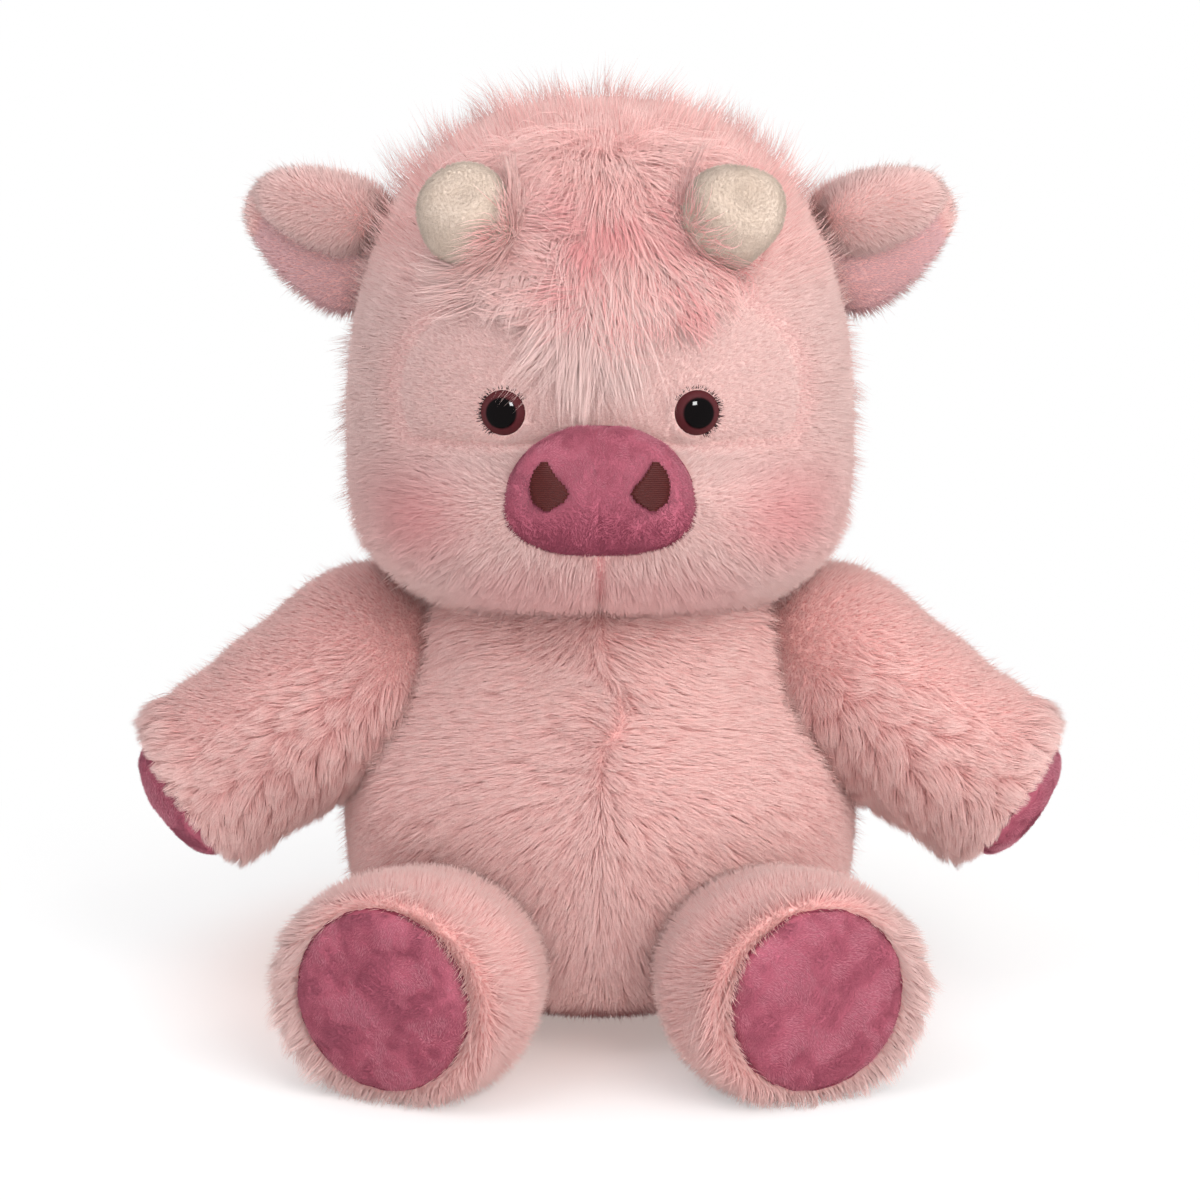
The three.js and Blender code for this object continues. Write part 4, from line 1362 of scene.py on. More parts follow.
def limb_pairs() -> list[Limb]:
    """The two arms and the two legs."""
    droop, forward, splay = math.radians(34), math.radians(8), math.radians(22)
    arm_way = (math.cos(droop) * math.cos(forward), -math.cos(droop) * math.sin(forward), -math.sin(droop))
    leg_way = (math.sin(splay), -math.cos(splay), 0.0)
    pairs = []
    for side in Side:
        pairs.append(Limb("arm", side, root=(76.784, -5.369, 93.0), way=arm_way, ball=30.5, girth=31.0, girth_at=10.0,
                          wrist=23.0, length=57.0, pad_radius=19.5, pad_dome=9.0, bend=(-18.0, 22.0), sunk=1.35,
                          above=((-27, -18, -9, 8, 26, 34, 41, 50, 57), (3, 2.5, 1, -3, -2, 1.5, 4.5, 3.5, 0)),
                          below=((-27, -10, 0, 10, 23, 32, 46), (0, 2.5, 5, 7, 6.5, 3.5, 0))))
        pairs.append(Limb("leg", side, root=(47.32, -77.22, 30.0), way=leg_way, ball=29.0, girth=31.5, girth_at=13.0,
                          wrist=29.5, length=31.0, pad_radius=25.4, pad_dome=5.0, bend=(-20.0, 6.0), puff=0.8,
                          wide=3.2, above=((-20, 0, 12, 24, 31), (-3, -2.5, -2, -1, 0)),
                          coat=replace(NAP, length=6.0, rise=6, lie=32, stray=20, tilt=7, thickness=0.15)))
    return pairs


@dataclass
class Head:
    """The head: one stuffed form with the muzzle sewn to its front and a face panel let in above."""

    skull: Pillow = Pillow((0, -4, 164), (73, 62, 46), (73, 62, 102), 2.5)
    muzzle: Pillow = Pillow((0, -34, 154), (63, 47, 25), (63, 20, 25), 2.4)
    nose_place: Point = (0.0, -80.0, 163.5)
    eye_place: Point = (26.6, -61.45, 184.4)
    horn_place: Point = (34.0, -49.5, 234.0)
    neck_place: Point = (0.0, 0.0, 98.0)
    neck_room: float = 57.0
    eye_room: float = 6.2
    horn_room: float = 14.0
    lock_room: float = 11.5
    cheek: tuple[float, float] = (51.0, 156.0)
    cheek_reach: tuple[float, float] = (15.0, 13.0)
    whorl_height: float = 186.0
    crown_height: float = 190.0
    fringe_x: float = -3.0
    fringe_span: tuple[float, float] = (208.0, 230.0)
    brow_height: float = 197.0
    seam_height: float = 176.0
    face_half_width: float = 55.0
    face_middle: float = 188.0
    face_rise: float = 34.0
    seam_depth: float = 1.0
    pile_depth: float = 1.4
    coat: Coat = replace(NAP, length=3.8, density=3.8, rise=18, lie=50, thickness=0.15, soft=0.94)
    face_coat: Coat = replace(NAP, length=3.0, density=4.5, rise=18, thickness=0.13, soft=0.94)
    muzzle_coat: Coat = replace(NAP, length=4.2, density=3.8, rise=18, thickness=0.15)
    chin_coat: Coat = Coat(length=7.5, density=2.8, rise=20, lie=60.0, gather=0.45, thickness=0.1, segments=2,
                           soft=0.9)
    wisp_coat: Coat = Coat(length=10.0, density=0.5, rise=6, lie=40.0, uneven=0.4, stray=30, tilt=12,
                           thickness=0.08, lock=5.0, gather=0.45, segments=2, soft=0.9)
    lock_coat: Coat = Coat(length=19.0, density=5.0, rise=40, lie=80.0, uneven=0.4, stray=24, thickness=0.1,
                           lock=4.5, gather=0.72, segments=4, soft=0.86)
    fringe_coat: Coat = Coat(length=31.0, density=3.4, rise=50, lie=84.0, uneven=0.5, stray=14, thickness=0.09,
                             lock=4.0, gather=0.8, segments=5, soft=0.86)

    def distance(self, points: Array) -> Array:
        """How far outside the head's cloth points lie."""
        seam = self.seam_depth * bell(self.face_depth(points), 1.6)
        return joined(self.skull.distance(points), self.muzzle.distance(points), 6.0) + self.pile_depth + seam

    def face_depth(self, points: Array) -> Array:
        """How far inside the face panel's outline points lie, in millimetres, or less than 0 outside."""
        aside = np.abs(points[..., 0]) / self.face_half_width
        rise = np.abs(points[..., 2] - self.face_middle) / self.face_rise
        arc = (1 - (aside**2.1 + rise**2.1) ** (1 / 2.1)) * self.face_rise
        depth = np.minimum(arc, points[..., 2] - self.seam_height)
        return np.where(points[..., 1] < -20, depth, -self.face_rise)

    def pale(self, points: Array) -> Array:
        """The share of the pale colours: full on the face and cheeks, little on the crown and behind."""
        front = ease(25, -30, points[:, 1])
        return front * (0.15 + 0.75 * ease(240, 205, points[:, 2]))

    def blush(self, points: Array) -> Array:
        """The share of the deep pink: the cheeks' own pink and, less of it, painted shade on the chin under the nose.
        """
        x, y, z = points.T
        aside = (np.abs(x) - self.cheek[0]) / self.cheek_reach[0]
        rise = (z - self.cheek[1]) / self.cheek_reach[1]
        # Painted shade on the chin under the nose.
        chin = 0.32 * ease(152, 140, z) * ease(52, 24, np.abs(x))
        return np.maximum(0.58 * np.exp(-(aside**2) - rise**2), chin) * ease(10, -20, y)

    def on_muzzle(self, points: Array) -> Array:
        """Whether points lie on the muzzle's halves."""
        ahead = self.muzzle.distance(points) < self.skull.distance(points)
        return ahead & (points[:, 1] < -16) & (points[:, 2] < self.seam_height + 6)

    def build(self) -> None:
        """Makes the head's cloth and pile."""
        surface = star((0, -12, 165), self.distance, 144, 110)
        skin = surface.piece("head_cloth", GROUND.material())
        put_value(skin.data, "pale", self.pale(surface.points))
        put_value(skin.data, "blush", self.blush(surface.points))
        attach(skin, "head")
        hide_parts("head_stuffing", "muzzle_stuffing")
        self.sides(self.bare(surface.roots(self.coat.density, "head")))
        self.face(self.bare(surface.roots(self.face_coat.density, "face")))
        self.cheeks(self.bare(surface.roots(self.muzzle_coat.density, "muzzle")))
        self.chin(self.bare(surface.roots(self.chin_coat.density, "chin")))
        self.forelock(surface.roots(self.lock_coat.density, "forelock"))
        self.fringe(surface.roots(self.fringe_coat.density, "fringe"))
        self.wisps(self.bare(surface.roots(self.wisp_coat.density, "wisps")))

    def bare(self, roots: Roots) -> Roots:
        """The spots that nose, eyes, horns and neck leave free.

        Args:
            roots: the spots.

        Returns:
            The spots that are left.
        """
        points = roots.points
        free = far_from(points, self.neck_place) > self.neck_room
        nose = (points - np.array(self.nose_place)) / np.array([24.0, 30.0, 15.5])
        free &= (np.abs(nose) ** 2.4).sum(1) > 1
        for side in Side:
            free &= far_from(points, side.mirrored(self.eye_place)) > self.eye_room
            free &= far_from(points, side.mirrored(self.horn_place)) > self.horn_room
        return roots.kept(free)

    def parted(self, roots: Roots) -> Array:
        """Pile is combed outwards from the nose, away from the eyes and the cheek seam.

        Args:
            roots: the spots.

        Returns:
            The way that it is combed at each spot.
        """
        points = roots.points
        flow = unit((points - np.array([0, 0, self.seam_height])) * (1, 0, 1)) + np.array([0, 0.35, 0])
        near_seam = bell(points[:, 2] - self.seam_height, 5)
        flow[:, 2] += 0.5 * np.sign(points[:, 2] - self.seam_height) * near_seam
        for side in Side:
            eye = side.mirrored(self.eye_place)
            flow += 2.4 * bump_at(points, eye, 9)[:, None] * unit(points - eye)
        return flow

    def sides(self, roots: Roots) -> None:
        """Makes the pile of the two side panels, from the face round to the back.

        Args:
            roots: spots all over the head.
        """
        points = roots.points
        roots = roots.kept((self.face_depth(points) < 0) & ~self.on_muzzle(points))
        for side in Side:
            here = roots.on(side)
            points = here.points
            back = ease(5, 50, points[:, 1])[:, None]
            away = unit((points - np.array([0, 0, self.whorl_height])) * (1, 0, 1)) + np.array([0, 0.5, 0])
            flow = away * (1 - back) + np.array([0, 0.1, -1.0]) * back
            # Painted shade: along the face panel's seam the pile is cut shorter and given some deep pink for the
            # shade in the seam's groove.
            seam = bell(self.face_depth(points) + 1, 1.8)
            pile = self.coat.grow(f"head_{side.word}_pile", here, flow, PLUSH, length=1 - 0.5 * seam,
                                  pale=self.pale(points), blush=np.maximum(self.blush(points), 0.16 * seam))
            worn(pile, f"head_{side.word}", "head")

    def face(self, roots: Roots) -> None:
        """Makes the short pale pile of the face panel."""
        roots = roots.kept((self.face_depth(roots.points) > 0) & ~self.on_muzzle(roots.points))
        seam = bell(self.face_depth(roots.points), 1.6)
        pile = self.face_coat.grow("face_pile", roots, self.parted(roots), PLUSH, length=1 - 0.4 * seam,
                                   pale=self.pale(roots.points), blush=self.blush(roots.points))
        worn(pile, "face_panel", "head")

    def cheeks(self, roots: Roots) -> None:
        """Makes the pile of the two muzzle halves, pink on each cheek, with painted shade along the seam between
        them.

        Args:
            roots: spots all over the head.
        """
        roots = roots.kept(self.on_muzzle(roots.points))
        for side in Side:
            here = roots.on(side)
            points = here.points
            # Painted shade: along the middle seam the pile is cut shorter and given deep pink for the shade in the
            # parting there.
            seam = bell(points[:, 0], 2.0)
            pile = self.muzzle_coat.grow(f"muzzle_{side.word}_pile", here, self.parted(here), PLUSH,
                                         length=1 - 0.6 * seam, pale=self.pale(points),
                                         blush=np.maximum(self.blush(points), 0.7 * seam))
            worn(pile, f"muzzle_{side.word}", "head")

    def chin(self, roots: Roots) -> None:
        """Makes the longer pile along the chin and the jaw, over the two muzzle halves.

        Args:
            roots: spots all over the head.
        """
        x, y, z = roots.points.T
        share = ease(156, 136, z) * ease(10, -25, y)
        share *= 1 - 0.9 * bell(x, 2.2)
        roots = roots.thinned(share, "jaw")
        for side in Side:
            here = roots.on(side)
            pile = self.chin_coat.grow(f"chin_{side.word}_pile", here, self.parted(here), PLUSH,
                                       pale=self.pale(here.points), blush=self.blush(here.points))
            worn(pile, f"muzzle_{side.word}", "head")

    def forelock(self, roots: Roots) -> None:
        """Makes the long locks that sweep from the crown over the brow, parted in the middle.

        Args:
            roots: spots all over the head.
        """
        x, y, z = roots.points.T
        spread = (x / 46) ** 2 + ((z - 232) / 26) ** 2
        free = (y < 0) & (spread < 1)
        for side in Side:
            free &= far_from(roots.points, side.mirrored(self.horn_place)) > self.lock_room
        roots = roots.kept(free).thinned(ease(1, 0.6, spread[free]), "spread")
        points = roots.points
        x, _, z = points.T
        fan = unit((points - np.array([1, 0, 256])) * (1, 0, 1))
        swirl = Drift(11, 16).at(points)
        curl = Drift(12, 9).at(points)
        left = ease(3, -9, x) * ease(250, 236, z)
        right = ease(4, 22, x)
        sweep = np.stack([-1 + 0 * swirl, 0 * swirl, -0.1 + 0.3 * swirl], 1)
        fall = fan + np.stack([0.6 * swirl + 0.3 * right, 0 * swirl, 0.6 * curl - 0.2], 1)
        flow = sweep * left[:, None] + fall * (1 - left[:, None])
        # Painted shade: on the lobe towards the calf's left, deep pink in patches placed at random stands for the
        # shade between its tufts; along the parting, more deep pink and less pale stand for the shade in it.
        parting = bell(x - 1, 3.5) * ease(244, 232, z)
        mottled_tuft_shade = 0.3 + 0.2 * Drift(13, 20).at(points) + 0.3 * curl + 0.3 * Drift(14, 4).at(points)
        blush = np.clip(mottled_tuft_shade, 0, 0.7) * ease(-30, 2, x) * ease(252, 240, z)
        blush += 0.35 * parting
        pale = np.clip(0.1 + 0.5 * left + 0.3 * swirl, 0, 0.8) * (1 - parting)
        pile = self.lock_coat.grow("forelock_pile", roots, flow, PLUSH, length=1 + 0.3 * swirl, pale=pale,
                                   blush=np.clip(blush, 0, 0.75), drape=self.distance)
        worn(pile, "forelock", "head")

    def fringe(self, roots: Roots) -> None:
        """Makes the pale strands that hang between the eyes.

        Args:
            roots: spots all over the head.
        """
        (x, y, z), (low, high) = roots.points.T, self.fringe_span
        off = np.abs(x - self.fringe_x)
        inside = (off < 28) & (z > low) & (z < high) & (y < 0)
        roots = roots.kept(inside & (off * 0.45 < z - low))
        x, _, z = roots.points.T
        lean = x / 55 + 0.12 * Drift(17, 14).at(roots.points)
        flow = np.stack([lean, 0 * lean, -1 + 0 * lean], 1)
        long = 1.1 - 0.6 * ease(6, 20, np.abs(x - self.fringe_x))
        room = np.maximum(z - self.brow_height, 3) / (1.5 * self.fringe_coat.length)
        beside = ease(8, 14, np.abs(x))
        long = long * (1 - beside) + np.minimum(long, room) * beside
        pile = self.fringe_coat.grow("fringe_pile", roots, flow, PLUSH, length=long,
                                     pale=0.7 + 0.3 * ease(224, 214, z), drape=self.distance)
        worn(pile, "forelock", "head")

    def wisps(self, roots: Roots) -> None:
        """Makes the fine long hairs that stand off the crown and, shorter, off the rest of the head.

        Args:
            roots: spots all over the head.
        """
        points = roots.points
        roots = roots.kept((self.face_depth(points) < -4) & (points[:, 1] > -58))
        points = roots.points
        flow = unit((points - np.array([0, 0, self.crown_height])) * (1, 0.4, 1))
        crown = ease(205, 240, points[:, 2])
        tufts = 1 + 0.45 * Drift(19, 15).at(points)
        pile = self.wisp_coat.grow("crown_wisps", roots, flow, PLUSH, length=(0.55 + 0.45 * crown) * tufts,
                                   pale=self.pale(points) * (1 - 0.5 * crown), blush=self.blush(points))
        worn(pile, "forelock", "head")


@dataclass
class Nose:
    """The velour nose with its seam and its two embroidered nostrils."""

    centre: Point = (0.0, -74.0, 164.5)
    half_width: float = 25.5
    half_height: float = 17.5
    depth: float = 10.5
    tilt: float = 14.0
    narrowing: float = 0.18
    fullness: float = 2.4
    nostril_height: float = 12.8
    nostril_spacing: float = 27.0
    nostril_rise: float = 0.6
    nostril_rows: tuple[float, ...] = (-1.0, -0.67, -0.33, 0.0, 0.33, 0.67, 1.0)
    nostril_middles: tuple[float, ...] = (0.0, -0.1, -0.2, 0.8, 2.0, 2.7, 2.7)
    nostril_halves: tuple[float, ...] = (0.9, 4.1, 5.2, 4.8, 3.7, 2.6, 1.0)

    def local(self, points: Array) -> Array:
        """Points in the nose's own frame, with its narrowing undone.

        Args:
            points: the points.

        Returns:
            The points in the nose's frame.
        """
        turn = math.radians(self.tilt)
        offset = points - np.array(self.centre)
        y = offset[..., 1] * math.cos(turn) - offset[..., 2] * math.sin(turn)
        z = offset[..., 1] * math.sin(turn) + offset[..., 2] * math.cos(turn)
        x = offset[..., 0] / (1 - self.narrowing * np.clip(z / self.half_height, -1.2, 1.2))
        return np.stack([x, y, z], -1)

    def placed(self, points: Array) -> Array:
        """Points of the nose's own frame, carried to the head.

        Args:
            points: the points.

        Returns:
            The points in the calf's frame.
        """
        turn = math.radians(self.tilt)
        x = points[..., 0] * (1 - self.narrowing * np.clip(points[..., 2] / self.half_height, -1.2, 1.2))
        y = points[..., 1] * math.cos(turn) + points[..., 2] * math.sin(turn)
        z = -points[..., 1] * math.sin(turn) + points[..., 2] * math.cos(turn)
        return np.stack([x, y, z], -1) + np.array(self.centre)

    def front(self, x: Array, z: Array) -> Array:
        """Points on the front of the nose, in its own frame."""
        rise = (np.abs(x) / self.half_width) ** self.fullness + (np.abs(z) / self.half_height) ** self.fullness
        y = -self.depth * np.maximum(1 - rise, 0) ** (1 / self.fullness)
        return np.stack([x, y, z], -1)

    def build(self) -> None:
        """Makes the velour, the seam round it and the nostrils."""
        form = Pillow((0, 0, 0), (self.half_width, self.depth, self.half_height),
                      (self.half_width, self.depth, self.half_height), self.fullness)
        surface = star((0, 0, 0), form.distance, 120, 90)
        points = surface.points
        valley = bell(points[:, 0], 0.7) * ease(0, -6, points[:, 2]) * ease(-2, -6, points[:, 1])
        lumps = Drift(5, 14).at(points) * 0.25 - 0.35 * valley
        surface = surface.at(self.placed(points + surface.normals() * lumps[:, None])).outward()
        nose = surface.piece("nose", VELOUR.material())
        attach(nose, "head")
        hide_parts("nose_pad")
        roots = surface.roots(Velour().coat.density, "nose")
        local = self.local(roots.points)
        roots, local = roots.kept(local[:, 1] < 0.5), local[local[:, 1] < 0.5]
        near = np.abs(np.abs(local[:, 0]) - self.nostril_spacing / 2 - 0.8) / 6.5
        halo = bell(np.hypot(near, (local[:, 2] - self.nostril_rise) / 8.0) - 1, 0.22)
        # Painted sheen and shade: the nap is painted paler at the nose's left and right edges and darker over its
        # lower part, which faces down.
        edge = ease(self.half_width * 0.8, self.half_width, np.abs(local[:, 0]))
        dark = 0.3 + 0.65 * ease(3, -11, local[:, 2])
        nap = Velour().grow("nose_nap", roots, np.maximum(0.55 * halo, 0.35 * edge), dark)
        worn(nap, "nose_pad", "head")
        turn = np.linspace(0, 2 * math.pi, 121)
        power = 2 / self.fullness
        rim = np.stack([np.sign(np.cos(turn)) * np.abs(np.cos(turn)) ** power * (self.half_width + 0.1),
                        np.full(121, 0.6),
                        np.sign(np.sin(turn)) * np.abs(np.sin(turn)) ** power * (self.half_height + 0.1)], 1)
        seam = tubes("nose_seam", [self.placed(rim)], 0.5, SEAM_THREAD.material())
        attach(seam, "head")
        for side in Side:
            self.nostril(side)

    def nostril(self, side: Side) -> None:
        """Makes one nostril from rows of thread laid across a drop shape.

        Args:
            side: the nostril's side.
        """
        threads = []
        for number, row in enumerate(np.linspace(-1, 1, 25)):
            middle = np.interp(row, self.nostril_rows, self.nostril_middles)
            wide = np.interp(row, self.nostril_rows, self.nostril_halves) - 0.25 * (number % 2)
            across = np.linspace(-wide, wide, 9)
            arch = 0.9 + 0.45 * (1 - (across / wide) ** 2)
            x = side.value * (self.nostril_spacing / 2 + middle + across)
            z = np.full(9, self.nostril_rise + row * self.nostril_height / 2)
            line = self.front(x, z)
            line[:, 1] -= arch
            threads.append(self.placed(line))
        nostril = tubes(f"nostril_{side.word}_thread", threads, 0.32, NOSTRIL_THREAD.material())
        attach(nostril, "head")
        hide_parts(f"nostril_{side.word}")


@dataclass
class Eye:
    """A domed safety eye with a brown rim, its stem in the head, and dark lashes."""

    side: Side
    place: Point = (26.6015, -61.4503, 184.3858)
    facing: Point = (0.1993, -0.9783, 0.0571)
    radius: float = 6.6
    dome: float = 5.2
    sink: float = 1.6
    stem_radius: float = 1.8
    stem_length: float = 12.0

    def build(self) -> None:
        """Makes the eye and its lashes."""
        low = -self.sink
        dome = bezier((self.radius, low + 0.6), (self.radius, low + self.dome * 0.62),
                      (self.radius * 0.62, low + self.dome), (0, low + self.dome), 20)
        path = np.vstack([[(0, -self.stem_length)], [(self.stem_radius, -self.stem_length)],
                          [(self.stem_radius, low - 0.8)], [(self.radius - 0.4, low - 0.8)], dome])
        centre, normal = self.side.mirrored(self.place), self.side.mirrored(self.facing)
        surface = spindle(path, centre, normal, 64)
        eye = surface.piece(f"eye_{self.side.word}_dome", EYE.material())
        offset = surface.points - centre
        offset -= np.outer(offset @ unit(normal), unit(normal))
        put_value(eye.data, "rim", np.linalg.norm(offset, axis=1) / self.radius)
        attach(eye, "head")
        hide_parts(f"eye_{self.side.word}")
        washer = bpy.data.objects[f"eye_washer_{self.side.word}"]
        washer.material_slots[0].material = PLASTIC.material()
        self.lashes(centre, unit(normal))

    def lashes(self, centre: Array, normal: Array) -> None:
        """Makes the fine dark hairs round the upper and outer rim.

        Args:
            centre: the middle of the eye.
            normal: the way that it faces.
        """
        rng = drawn(f"lashes_{self.side.word}")
        across = unit(np.cross(UP, normal)) * -1
        rise = np.cross(normal, across) * -1
        rise *= np.sign(rise[2])
        across *= np.sign(across[0]) * self.side.value
        hairs = []
        for angle in np.radians(np.linspace(-70, 150, 130) + rng.normal(0, 3, 130)):
            spoke = across * math.cos(angle) + rise * math.sin(angle)
            start = centre + spoke * (self.radius - 0.5) + normal * 0.2
            size = rng.uniform(0.7, 2.1)
            share = np.linspace(0, 1, 5)[:, None]
            hairs.append(start + size * (normal * (0.7 * share - 0.35 * share**2) + spoke * 0.9 * share))
        lashes = tubes(f"lashes_{self.side.word}", hairs, 0.2, LASH.material(), taper=0.8)
        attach(lashes, "head")


@dataclass
class Horn:
    """A stubby horn of cream fleece, dented by its stuffing."""

    side: Side
    place: Point = (34.0, -49.5, 234.0)
    way: Point = (0.3434, -0.6457, 0.682)
    radius: float = 13.3
    length: float = 18.6
    root: float = 12.0
    coat: Coat = replace(NAP, length=1.0, density=5.0, lie=55, stray=20, thickness=0.1, soft=0.95)
    hair_coat: Coat = Coat(length=12.0, density=3.2, rise=66, lie=92, uneven=0.45, stray=24, thickness=0.1, lock=2.5,
                           gather=0.5, segments=3)

    def build(self) -> None:
        """Makes the stuffed horn, its short nap and the forelock's hairs that lie over it."""
        dome = bezier((self.radius, self.length * 0.3), (self.radius, self.length * 0.8),
                      (self.radius * 0.66, self.length), (0, self.length), 20)
        path = np.vstack([[(0, -self.root)], [(self.radius * 0.5, -self.root)], [(self.radius * 0.8, -5)],
                          [(self.radius * 0.97, 2)], dome])
        surface = spindle(evened(path, 1.2), self.side.mirrored(self.place), self.side.mirrored(self.way), 72)
        spot = self.side.mirrored(self.place) + unit(self.side.mirrored(self.way)) * self.length
        lumps = 0.7 * Drift(31 + self.side.value, 22).at(surface.points)
        lumps -= 1.5 * bump_at(surface.points, spot + np.array([2.0, -3, -2]), 6.0)
        surface = surface.moved(surface.normals() * lumps[:, None])
        skin = surface.piece(f"horn_{self.side.word}_cloth", FLEECE.material())
        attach(skin, "head")
        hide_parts(f"horn_stuffing_{self.side.word}")
        roots = surface.roots(self.coat.density, skin.name)
        along = (roots.points - self.side.mirrored(self.place)) @ unit(self.side.mirrored(self.way))
        roots = roots.kept(along > -4)
        flow = np.array([0, 0, -1.0]) + 0.6 * Drift(7, 15).at(roots.points)[:, None] * np.array([1.0, 0, 0.3])
        nap = self.coat.grow(f"horn_{self.side.word}_nap", roots, flow, FLEECE_NAP)
        worn(nap, f"horn_{self.side.word}", "head")
        self.hairs(surface)

    def hairs(self, surface: Surface) -> None:
        """Makes the forelock's hairs that lie over the horn's inner and lower edge.

        Args:
            surface: the horn's cloth.
        """
        name = f"horn_{self.side.word}_hairs"
        roots = surface.roots(self.hair_coat.density, name)
        offset = roots.points - self.side.mirrored(self.place)
        along = offset @ unit(self.side.mirrored(self.way))
        inner = offset @ np.array([-0.9 * self.side.value, 0, -0.45]) / self.radius
        share = ease(0.05, 0.6, inner) * ease(15, 7, along) * (1.0 if self.side is Side.RIGHT else 0.3)
        roots = roots.kept(along > -2).thinned(share[along > -2], name)
        flow = np.tile([1.0 * self.side.value, 0, 0.35], (len(roots.points), 1))
        pile = self.hair_coat.grow(name, roots, flow, PLUSH, pale=np.full(len(roots.points), 0.25))
        worn(pile, "forelock", "head")


@dataclass
class Ear:
    """An ear: a plush leaf with a darker lining, its upper edge rolled over to the front."""

    side: Side
    root: Point = (67.0452, -4.0, 221.513)
    tilt: float = 20.0
    length: float = 38.0
    leaf: Pillow = Pillow((12.7, 0, 0), (20, 6, 22), (25.3, 6, 22), 2.3)
    roll: Pillow = Pillow((18, -6, 9.5), (18, 7.5, 12.5), (18.5, 7.5, 12.5), 2.2)
    narrowing: float = 0.4
    sweep: float = 5.0
    pile_depth: float = 1.8
    coat: Coat = replace(NAP, length=4.4, density=3.8, lie=54, thickness=0.15, soft=0.92)
    lining_coat: Coat = replace(NAP, length=3.2, density=3.8, lie=55, thickness=0.14, soft=0.92)

    def carried(self, points: Array, spots: bool = True) -> Array:
        """Flat points of the ear, drawn to its outline and carried to the head.

        Args:
            points: points with X out along the ear, Z along its sewn line and -Y to the front.
            spots: whether they are spots or only directions.

        Returns:
            The points or directions in the calf's frame.
        """
        turn = math.radians(self.tilt)
        out = np.array([math.cos(turn), 0, math.sin(turn)])
        sewn = np.array([-math.sin(turn), 0, math.cos(turn)])
        x, y, z = points[..., 0], points[..., 1], points[..., 2]
        if spots:
            z = z * (1 - self.narrowing * x / self.length) + x * math.tan(math.radians(self.sweep))
        world = x[..., None] * out + y[..., None] * np.array([0, 1.0, 0]) + z[..., None] * sewn
        return self.side.mirrored(world + np.array(self.root)) if spots else self.side.mirrored(world)

    def distance(self, points: Array) -> Array:
        """How far outside the ear's cloth flat points lie."""
        return joined(self.leaf.distance(points), self.roll.distance(points), 4.0) + self.pile_depth

    def build(self) -> None:
        """Makes the ear's cloth, its pile and its lining."""
        flat = star((14, -2, 4), self.distance, 96, 72, reach=60)
        surface = flat.at(self.carried(flat.points)).outward()
        skin = surface.piece(f"ear_{self.side.word}_cloth", GROUND.material())
        self.bent(skin)
        for coat, word in ((self.coat, "nap"), (self.lining_coat, "lining"), (WISPS, "wisps")):
            self.pile(flat, word, coat)

    def pile(self, flat: Surface, word: str, coat: Coat) -> None:
        """Makes one coat: the pile, the short one of the lining or the few longer hairs.

        Args:
            flat: the ear's cloth, before it is carried to the head.
            word: the coat's word in the piece's name.
            coat: how it is cut and combed.
        """
        name, lined = f"ear_{self.side.word}_{word}", word == "lining"
        spots = flat.roots(coat.density, name)
        points, normals = spots.points, spots.normals
        inner = (normals[:, 1] < -0.1) & (self.roll.distance(points) > self.leaf.distance(points) + 0.3)
        inner &= (points[:, 2] < 4) & (points[:, 0] < self.length - 6)
        keep = (inner if lined else ~inner) & (points[:, 0] > -3)
        points, normals = points[keep], normals[keep]
        ahead = points + normals * 0.5
        origin = self.carried(points)
        roots = Roots(origin, unit(self.carried(ahead) - origin))
        flow = np.tile([1.0, 0, 0], (len(points), 1))
        on_roll = (self.roll.distance(points) < self.leaf.distance(points)).astype(float)
        flow[:, 2] += on_roll * np.clip(-(points[:, 2] - 12) / 10, -0.6, 0.9) * -0.8
        finish = LINING if lined else PLUSH
        pale = 0.4 + 0.35 * on_roll
        pile = coat.grow(name, roots, self.carried(flow, False), finish, pale=pale)
        node = f"ear_lining_{self.side.word}" if lined else f"ear_{self.side.word}"
        worn(pile, node, self.bent)

    def bent(self, piece: Piece) -> None:
        """Bakes a piece's placing into its mesh; where it would bend along the ear is worked out but not used."""
        start, end = (self.carried(np.array([place, 0.0, 0.0])) for place in (-6.0, 10.0))
        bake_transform(piece)


